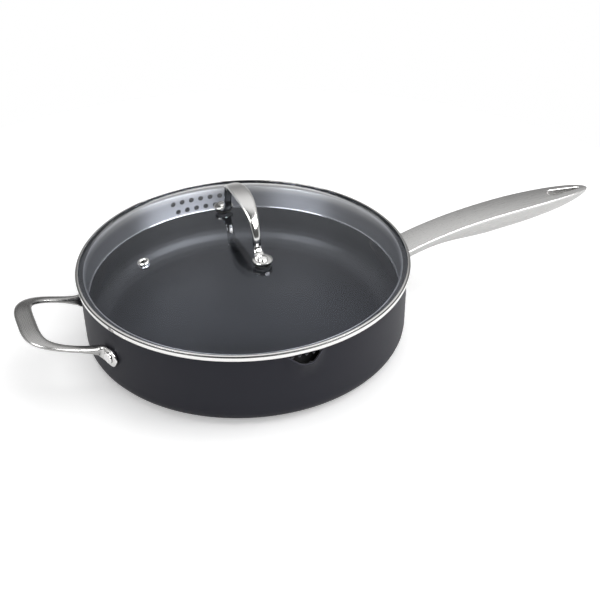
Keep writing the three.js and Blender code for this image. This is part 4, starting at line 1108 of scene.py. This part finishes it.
girth = 2 * math.pi * BAND_RADIUS
coarse_half, fine_half = COARSE_COUNTS[0] / 2 * COARSE_PITCH, FINE_COUNTS[0] / 2 * FINE_PITCH
coarse = girth / 4 + np.linspace(-coarse_half, coarse_half, COARSE_COUNTS[0] * CELLS + 1)
fine = 3 * girth / 4 + np.linspace(-fine_half, fine_half, FINE_COUNTS[0] * CELLS + 1)
plain_a = np.linspace(coarse[-1], fine[0], PLAIN_STEPS + 1)[1:-1]
plain_b = np.linspace(fine[-1], girth + coarse[0], PLAIN_STEPS + 1)[1:-1]
around = np.r_[coarse, plain_a, fine, plain_b]
columns = len(around)
flat = np.stack(np.meshgrid(stations, around, indexing="ij"), -1)[..., ::-1].reshape(-1, 2)
faces = grid_faces(len(stations), columns, False, True)


def patch_holes(counts, pitch, diameter, first_column, middle):
    """Blocks of two staggered rows of holes, whose columns share one grid."""
    holes = []
    for row, count in enumerate(counts):
        top = len(before) + row * CELLS
        left = first_column + (counts[0] - count) * CELLS // 2
        level = level_zero + HOLE_ROW_TOP + HOLE_ROW_STEP * row
        for i in range(count):
            centre = np.array([middle + (i - (count - 1) / 2) * pitch, level])
            first = left + i * CELLS
            holes.append((top, top + CELLS, first, first + CELLS, centre, diameter / 2))
    return holes


holes = patch_holes(COARSE_COUNTS, COARSE_PITCH, COARSE_HOLE, 0, girth / 4)
holes += patch_holes(FINE_COUNTS, FINE_PITCH, FINE_HOLE, len(coarse) + len(plain_a), 3 * girth / 4)
flat, faces = punch(flat, columns, faces, holes)
print("strainer:", len(holes), "holes,", len(stations), "rows,", columns, "columns")

# %% [markdown]
# The flat strip is now bent to the profile and thickened to sheet: each point moves half a sheet along
# the profile's normal, to either side. The fold at the foot is rolled tight on the real strip, so a
# round bead is laid in it, which catches the light as a bright line. Marks tell the finish where the
# sheet is outside, where it lies on the seal, and where a painted highlight lightens its colour: on
# the bend, the hem and the bead.

# %% Bend the strainer to its profile
SEAL_FROM, SEAL_TO = 0.8, 1.1
BEAD_RADIUS, BEAD_INSET, BEAD_STEPS = 0.8, 1.3, 16

line_way = np.gradient(band_line, axis=0)
line_way /= np.linalg.norm(line_way, axis=1, keepdims=True)
radius = np.interp(flat[:, 1], line_length, band_line[:, 0])
height = np.interp(flat[:, 1], line_length, band_line[:, 1])
normal_r = np.interp(flat[:, 1], line_length, -line_way[:, 1])
normal_z = np.interp(flat[:, 1], line_length, line_way[:, 0])
scale = half_sheet / np.hypot(normal_r, normal_z)
azimuth = flat[:, 0] / BAND_RADIUS


def bent(side):
    """The strip on one side of the sheet's middle: its profile point plus half a sheet along the normal."""
    r, z = radius + side * normal_r * scale, height + side * normal_z * scale
    return np.column_stack([r * np.cos(azimuth), r * np.sin(azimuth), RIM_SEAT + z])


points, faces = close_sheet(bent(1), bent(-1), faces)
path = np.tile(np.column_stack([flat, 0 * radius]), (2, 1))
# Painted highlight on the hem and the bend: these values lighten the colour there.
hem_painted_highlight = smoothstep(-height, BAND_DROP - 2, BAND_DROP - 1)
bend_painted_highlight = 0.5 * smoothstep(height, -6, 0)
marks = {
    "path": path,
    "seal": np.tile(smoothstep(radius, BAND_RADIUS + SEAL_FROM, BAND_RADIUS + SEAL_TO), 2),
    "bright": np.tile(np.maximum(hem_painted_highlight, bend_painted_highlight), 2),
    "outer": np.repeat([1.0, 0.0], len(flat)),
}
bead_turn = even_turn(BEAD_STEPS)
bead_line = BEAD_RADIUS * np.column_stack([np.cos(bead_turn), np.sin(bead_turn)])
bead_line += [BAND_RADIUS - BEAD_INSET, RIM_SEAT - BAND_DROP + BEAD_RADIUS]
bead, bead_faces = turn_profile(bead_line, even_turn(RING_STEPS), closed=True)
bead_marks = {"path": bead, "bright": np.ones(len(bead)), "outer": np.ones(len(bead))}
skins = [(points, faces, marks), (bead, bead_faces, bead_marks)]
make_piece("strainer_skirt", "strainer_band", skins, rolled_steel)

# %% [markdown]
# The lid's glass is a low dome of even thickness, flat in the middle and steeper near the rim. Its
# height is a polynomial of the radius, so its slope is known exactly, and the underside, the handle's
# feet and the vent can stand square to it.

# %% Glass dome: form
GLASS_EDGE, GLASS_RISE, GLASS_FLATNESS, GLASS_THICKNESS = 4.6, 23.6, 0.5, 3.0
GLASS_BOTTOM, DOME_RADIUS = 1.6, 140.0


def glass_top(radius):
    """Height of the dome: edge + rise (1 - (1 - f) s^2 - f s^4), with s the share of the dome's radius."""
    s = np.minimum(1, radius / DOME_RADIUS)
    return GLASS_EDGE + GLASS_RISE * (1 - (1 - GLASS_FLATNESS) * s ** 2 - GLASS_FLATNESS * s ** 4)


def glass_slope(radius):
    """Slope of the dome, the height's derivative."""
    s = np.minimum(1, radius / DOME_RADIUS)
    return -GLASS_RISE / DOME_RADIUS * (2 * (1 - GLASS_FLATNESS) * s + 4 * GLASS_FLATNESS * s ** 3)


print("dome rises", GLASS_RISE, "mm above its edge")

# %% [markdown]
# Three holes go through the glass: two for the handle's rivets and one for the steam vent. The same
# punched grid is used, this time with rings and spokes. The underside lies one thickness below the top,
# measured square to it.

# %% Glass dome
FOOT_SPACING, LID_SHANK = 98.0, 4.6
VENT_REACH, VENT_BORE, VENT_WALL = 88.0, 4.6, 0.9
BORE_GAP, EDGE_ROUND = 0.4, 1.5
FOOT_BLOCK, VENT_BLOCK, BLOCK_ROWS, FOOT_SPOKES, VENT_SPOKES = 7, 8, 8, 5, 4
DOME_STEPS, EDGE_STATIONS = 240, 8

foot_y = FOOT_SPACING / 2
foot_bore, vent_bore = LID_SHANK / 2 + BORE_GAP, VENT_BORE / 2 + VENT_WALL + BORE_GAP
foot_rows = foot_y + np.linspace(-FOOT_BLOCK, FOOT_BLOCK, BLOCK_ROWS + 1)
vent_rows = VENT_REACH + np.linspace(-VENT_BLOCK, VENT_BLOCK, BLOCK_ROWS + 1)
edge_rows = GLASS_RADIUS - EDGE_ROUND * (1 - np.sin(np.linspace(0, math.pi / 2, EDGE_STATIONS)))
dome_radii = np.r_[
    np.linspace(0, foot_rows[0], 12)[:-1], foot_rows,
    np.linspace(foot_rows[-1], vent_rows[0], 9)[1:-1], vent_rows,
    np.linspace(vent_rows[-1], DOME_RADIUS, 18)[1:], edge_rows,
]
azimuth = even_turn(DOME_STEPS)
spokes = np.stack([np.cos(azimuth), np.sin(azimuth)], -1)
flat = (dome_radii[:, None, None] * spokes).reshape(-1, 2)
faces = grid_faces(len(dome_radii), DOME_STEPS, False, True)
quarter = DOME_STEPS // 4
holes = []
for rows, spoke, spread, centre, bore in (
    (foot_rows, quarter, FOOT_SPOKES, (0, foot_y), foot_bore),
    (foot_rows, 3 * quarter, FOOT_SPOKES, (0, -foot_y), foot_bore),
    (vent_rows, 2 * quarter, VENT_SPOKES, (-VENT_REACH, 0), vent_bore),
):
    top = int(np.searchsorted(dome_radii, rows[0] - TINY))
    holes.append((top, top + BLOCK_ROWS, spoke - spread, spoke + spread, np.array(centre), bore))
flat, faces = punch(flat, DOME_STEPS, faces, holes)
kept, faces = weld(flat, faces)
flat = flat[kept]
radius = np.hypot(*flat.T)
near_edge = np.maximum(0, radius - (GLASS_RADIUS - EDGE_ROUND))
round_off = EDGE_ROUND - np.sqrt(np.maximum(0, EDGE_ROUND ** 2 - near_edge ** 2))
upper = glass_top(radius) - round_off
lower = glass_top(radius) - GLASS_THICKNESS * np.hypot(1, glass_slope(radius))
lower = np.where(radius > DOME_RADIUS - TINY, GLASS_BOTTOM, lower) + round_off
points, faces = close_sheet(
    np.column_stack([flat, RIM_SEAT + upper]), np.column_stack([flat, RIM_SEAT + lower]), faces)
make_piece("glass_dome", "lid_glass", [(points, faces, {})], clear_glass)

# %% [markdown]
# The lid's fittings stand square on the sloping glass. A piece is made about its own upright axis, and
# one function then tilts it by the glass's slope at its place and lifts it there.

# %% Stand square on the glass


def on_glass(points, x, y):
    """Points of a frame that stands square on the glass at (x, y): turned by the slope, then lifted there."""
    radius = math.hypot(x, y)
    lean = math.atan(-glass_slope(radius))
    out = np.array([x, y, 0]) / radius
    side, up = np.array([-out[1], out[0], 0]), np.array([0, 0, 1.0])
    tilted_out = out * math.cos(lean) - up * math.sin(lean)
    tilted_up = out * math.sin(lean) + up * math.cos(lean)
    in_out, in_side = points[:, :2] @ out[:2], points[:, :2] @ side[:2]
    turned = in_out[:, None] * tilted_out + in_side[:, None] * side + points[:, 2:] * tilted_up
    return turned + [x, y, RIM_SEAT + glass_top(radius)]


print("the feet lean", round(math.degrees(math.atan(-glass_slope(foot_y))), 1), "degrees")

# %% [markdown]
# The lid's handle is a strap: two round feet square to the glass, slim polished legs, and a broad
# brushed crown. It is one section carried over an arch. The feet are part of the same sweep: across a
# round foot the section's width is the chord of a circle.

# %% Lid arch: foot, ankle and arch
ARCH_RISE, ARCH_SPAN, ARCH_SQUARENESS = 43.3, 73.0, 2.3
FOOT_WIDTH, FOOT_THICKNESS, FOOT_STAND, FOOT_BEND, ANKLE_FLARE = 17.0, 3.3, 6.0, 8.0, 0.5
CROWN_WIDTH, CROWN_THICKNESS, CROWN_GATHER = 15.0, 3.4, 3
ARCH_LEG_WIDTH, ARCH_LEG_THICKNESS = 6.6, 4.8
FOOT_SECTION, ANKLE_SECTION, LEG_SECTION, CROWN_SECTION = 3.4, 3.2, 2.5, 3.4
FOOT_STATIONS, ANKLE_STATIONS, ARCH_STATIONS, LEAST_HALF = 40, 26, 240, 0.02

leg_y = ARCH_SPAN / 2
pad_half = FOOT_WIDTH / 2
pad_height = FOOT_STAND - FOOT_THICKNESS / 2
heel, instep = 1 - LEAST_HALF / pad_half, (leg_y + FOOT_BEND - foot_y) / pad_half
angle = np.linspace(math.asin(heel), math.asin(instep), FOOT_STATIONS)
none = 0 * angle
foot_line = on_glass(np.column_stack([none, pad_half * np.sin(angle), none + pad_height]), 0, foot_y)
foot_half = np.maximum(pad_half * np.cos(angle), np.where(angle < 0, ARCH_LEG_WIDTH / 2, 0))
spring = foot_line[-1, 2] + FOOT_BEND
crown = RIM_SEAT + glass_top(0) + ARCH_RISE - CROWN_THICKNESS / 2
lift = np.linspace(0, 1, ANKLE_STATIONS)[1:-1]
bend_y = leg_y + FOOT_BEND * (1 - np.sin(math.pi / 2 * lift))
bend_z = spring - FOOT_BEND * np.cos(math.pi / 2 * lift)
turn = np.linspace(0, math.pi / 2, ARCH_STATIONS)
power = 2 / ARCH_SQUARENESS
fullness = np.sin(turn) ** CROWN_GATHER
foot_rows = np.column_stack([
    foot_line, foot_half, none + FOOT_THICKNESS / 2, none + FOOT_SECTION, none,
])
ankle_rows = np.column_stack([
    0 * lift, bend_y, bend_z,
    ARCH_LEG_WIDTH / 2 * (1 + ANKLE_FLARE * (1 - lift) ** 2),
    (FOOT_THICKNESS + (ARCH_LEG_THICKNESS - FOOT_THICKNESS) * lift) / 2,
    ANKLE_SECTION + (LEG_SECTION - ANKLE_SECTION) * lift,
    0 * lift,
])
arch_rows = np.column_stack([
    0 * turn,
    leg_y * np.maximum(0, np.cos(turn)) ** power,
    spring + (crown - spring) * np.sin(turn) ** power,
    (ARCH_LEG_WIDTH + (CROWN_WIDTH - ARCH_LEG_WIDTH) * fullness) / 2,
    (ARCH_LEG_THICKNESS + (CROWN_THICKNESS - ARCH_LEG_THICKNESS) * fullness) / 2,
    LEG_SECTION + (CROWN_SECTION - LEG_SECTION) * fullness,
    turn / (math.pi / 2),
])
print("half the arch:", len(foot_rows) + len(ankle_rows) + len(arch_rows), "stations")

# %% [markdown]
# The half is mirrored and swept as the helper handle was, with its upright in the arch's own plane. A
# short boss under each foot stands on the washer.

# %% Lid arch
STRAP_STATIONS, STRAP_SMOOTH = 460, 2
BOSS_DIAMETER, BOSS_STEPS, SEAT_THICKNESS = 11.0, 48, 1.7

half_rows = np.vstack([foot_rows, ankle_rows, arch_rows])
skins = [sweep_both_halves(
    half_rows, STRAP_STATIONS, STRAP_SMOOTH, lambda along: np.cross(along, [1, 0, 0]), LEAST_HALF)]
boss_foot = SEAT_THICKNESS + 2 * SEAT_GAP
boss_line = soften([
    (0, boss_foot, 0),
    (BOSS_DIAMETER / 2, boss_foot, 0.4),
    (BOSS_DIAMETER / 2, pad_height, 0.1),
    (0, pad_height, 0),
], 2)
points, faces = turn_profile(boss_line, even_turn(BOSS_STEPS))
skins += [(on_glass(points, 0, y), faces, {"path": points}) for y in (-foot_y, foot_y)]
make_piece("lid_arch", "lid_handle", skins, satin_arch)

# %% [markdown]
# A rivet clamps each foot through the glass, with a black washer above it, a soft seal and a steel cup
# below. They are turned profiles set square on the glass, with rounded corners so that soft parts look
# soft.

# %% Lid fixings
SEAT_DIAMETER, SEAL_DIAMETER, SEAL_THICKNESS = 14.0, 14.0, 1.5
CUP_DIAMETER, CUP_THICKNESS = 12.0, 0.8
FIXING_HEAD, FIXING_HEAD_HEIGHT, FIXING_TAIL, FIXING_TAIL_HEIGHT, FIXING_BRIM = 8.6, 1.5, 8.0, 1.4, 0.3


def washer_line(diameter, low, thickness, fillet):
    """Profile of a flat ring round the rivet's shank, with rounded corners."""
    bore, rim, high = LID_SHANK / 2 + BORE_GAP, diameter / 2, low + thickness
    corners = [(bore, low), (rim, low), (rim, high), (bore, high)]
    return soften([(*corner, fillet) for corner in corners], 2, closed=True)


seal_low = -GLASS_THICKNESS - SEAT_GAP - SEAL_THICKNESS
cup_low = seal_low - SEAT_GAP - CUP_THICKNESS
tail_top = cup_low - SEAT_GAP
pin_line = rivet_line(
    LID_SHANK, FOOT_STAND + SEAT_GAP - tail_top,
    FIXING_HEAD, FIXING_HEAD_HEIGHT, FIXING_TAIL, FIXING_TAIL_HEIGHT, FIXING_BRIM)
washer = washer_line(SEAT_DIAMETER, SEAT_GAP, SEAT_THICKNESS, 0.5)
seal = washer_line(SEAL_DIAMETER, seal_low, SEAL_THICKNESS, 0.4)
cup = washer_line(CUP_DIAMETER, cup_low, CUP_THICKNESS, 0.25)
stack = [
    ("foot_rivet", "lid_rivet", pin_line + [0, tail_top], False, polished_steel),
    ("foot_washer", "seat_washer", washer, True, black_silicone),
    ("under_seal", "glass_seal", seal, True, black_silicone),
    ("cup_washer", "rivet_cup", cup, True, polished_steel),
]
for side, end in ((-1, "front"), (1, "back")):
    for name, node, line, closed, finish in stack:
        points, faces = turn_profile(line, even_turn(ROUND_STEPS), closed)
        skin = on_glass(points, 0, side * foot_y), faces, {}
        make_piece(f"{name}_{end}", f"{node}_{end}", [skin], finish)

# %% [markdown]
# Steam leaves through a steel eyelet: a short tube whose upper edge is rolled over into a round bead.
# It is one more turned profile, closed on itself, and large fillets on its two upper corners make the
# bead.

# %% Steam eyelet
VENT_FLANGE, VENT_BEAD, VENT_ROLL, VENT_LIP, VENT_ROUND = 10.6, 1.9, 9.4, 0.9, 1.35
bore, tube = VENT_BORE / 2, VENT_BORE / 2 + VENT_WALL
under, over = -GLASS_THICKNESS - SEAT_GAP, SEAT_GAP
eyelet_line = soften([
    (bore, under - VENT_LIP, 0.3),
    (VENT_ROLL / 2, under - VENT_LIP, 0.4),
    (VENT_ROLL / 2, under, 0.3),
    (tube, under, 0.1),
    (tube, over, 0.1),
    (VENT_FLANGE / 2, over, 0.5),
    (VENT_FLANGE / 2, over + VENT_BEAD, VENT_ROUND),
    (bore, over + VENT_BEAD, VENT_ROUND),
], 0.6, closed=True)
points, faces = turn_profile(eyelet_line, even_turn(ROUND_STEPS), closed=True)
skin = on_glass(points, -VENT_REACH, 0), faces, {}
make_piece("steam_eyelet", "vent_eyelet", [skin], polished_steel)

# %% [markdown]
# The floor is plain white card, smaller than the picture, so that it runs into the white background. It
# keeps the pan's soft shadow. A faint glow of its own, which only the camera and mirror rays see, lifts
# it to white without lighting the pan from below.

# %% Floor
CARD_RADIUS, CARD_STEPS, CARD_LIFT = 0.52, 96, 0.34
CARD_WHITE, FIBRE_WHITE, FIBRE_SCALE = (0.96, 0.96, 0.96, 1), (0.98, 0.98, 0.98, 1), 900.0

tree, place = new_finish("white_card")
colour = tree.blend(tree.noise(place, FIBRE_SCALE), CARD_WHITE, FIBRE_WHITE)
ray = tree.node("LightPath")
seen = ray["Is Camera Ray"] + ray["Is Glossy Ray"]
paper = tree.node("BsdfDiffuse", {}, {"Color": colour})["BSDF"]
glow = tree.node("Emission", {}, {"Strength": seen * CARD_LIFT})["Emission"]
white_card = close_finish(tree, tree.node("AddShader", {}, {0: paper, 1: glow})["Shader"])
around = even_turn(CARD_STEPS)
edge = CARD_RADIUS * np.column_stack([np.cos(around), np.sin(around), 0 * around])
card = bpy.data.meshes.new("floor")
card.from_pydata(edge.tolist(), [], [list(range(CARD_STEPS))])
card.materials.append(white_card)
add_object("floor", card)
print("floor", 2 * CARD_RADIUS, "m across")

# %% [markdown]
# Metal and glass show what is round them, so the light is built as a small studio. One broad softbox
# overhead and a weaker one on the right light the matt surfaces, and no mirror shows them. Two large
# bars, right and left of the camera and higher than it, do the opposite: only shiny surfaces see them,
# and they draw the long highlights on the handles and in the pan's inner corner.

# %% Studio lamps
LAMP_AIM = Vector((0, 0, 0.05))


def heading(azimuth, elevation):
    """Unit vector towards an azimuth and an elevation in degrees."""
    turn, rise = math.radians(azimuth), math.radians(elevation)
    return Vector((math.cos(rise) * math.cos(turn), math.cos(rise) * math.sin(turn), math.sin(rise)))


def softbox(name, azimuth, elevation, distance, width, height, power, unseen):
    """An oblong area lamp that faces the pan. The camera and the rays named as unseen don't meet it."""
    toward = heading(azimuth, elevation)
    lamp = bpy.data.lights.new(name, "AREA")
    lamp.shape, lamp.size, lamp.size_y, lamp.energy = "RECTANGLE", width, height, power
    box = add_object(name, lamp)
    facing = toward.to_track_quat("Z", "Y").to_matrix().to_4x4()
    box.matrix_world = Matrix.Translation(toward * distance + LAMP_AIM) @ facing
    for kind in ("camera", *unseen):
        setattr(box, "visible_" + kind, False)
    print(f"{name}: {width} by {height} m, {power} W")


softbox("overhead", 68, 80, 1.6, 1.4, 1.4, 10.0, ["glossy", "transmission"])
softbox("right_fill", -20, 35, 1.5, 0.9, 0.9, 8.0, ["glossy", "transmission"])
softbox("right_bar", -58, 38, 1.5, 1.35, 0.8, 47.0, ["diffuse"])
softbox("left_bar", -158, 42, 1.5, 0.9, 0.8, 22.0, ["diffuse"])

# %% [markdown]
# The world stands for the studio's walls. The camera sees it white, matt surfaces get an even light
# from it, and mirror rays see a room: a bright floor line, a dark low wall, and a ceiling that grows
# lighter overhead. Three soft glows show where the far wall catches the lamps, and the front is dark,
# as behind a photographer. What kind of ray asks decides which of these it gets.

# %% Studio walls
AMBIENT, FRONT = 0.46, 0.08
WALL_STOPS = [
    (0.0, 0.85), (0.1, 0.50), (0.2, 0.16), (0.44, 0.14),
    (0.51, 0.28), (0.58, 0.64), (0.7, 0.72), (1.0, 1.15),
]
WALL_GLOWS = [(82, 47, 0.18, 160), (58, 50, 0.26, 160), (25, 40, 0.20, 14)]
FRONT_AZIMUTH, FRONT_ELEVATION, FRONT_STOPS = -112, 20, [(0.15, 0), (0.55, 1)]

world = bpy.data.worlds.new("studio")
bpy.context.scene.world = world
tree = Tree(world)
ray = tree.node("LightPath")
diffused, mirrored = (ray[depth].maths("GREATER_THAN", 0.5) for depth in ("Diffuse Depth", "Glossy Depth"))
toward = tree.node("TexCoord")["Generated"]


def facing(azimuth, elevation):
    """Cosine of the angle between a ray and a heading."""
    sockets = {0: toward, 1: heading(azimuth, elevation)}
    return tree.node("VectorMath", {"operation": "DOT_PRODUCT"}, sockets)["Value"]


wall = tree.ramp(tree.node("SeparateXYZ", {}, {0: toward})["Z"], *WALL_STOPS)
for azimuth, elevation, glow, tightness in WALL_GLOWS:
    wall = wall + glow * facing(azimuth, elevation).maths("MAXIMUM", 0.0) ** tightness
front = tree.ramp(facing(FRONT_AZIMUTH, FRONT_ELEVATION), *FRONT_STOPS)
wall = wall + front * (FRONT - wall)
level = diffused * AMBIENT + (1 - diffused) * (mirrored * wall + (1 - mirrored))
background = tree.node("Background", {}, {"Color": (1, 1, 1, 1), "Strength": level})["Background"]
tree.node("OutputWorld", {}, {"Surface": background})
print("a world of", AMBIENT, "for matt surfaces, with", len(WALL_GLOWS), "glows for mirrors")
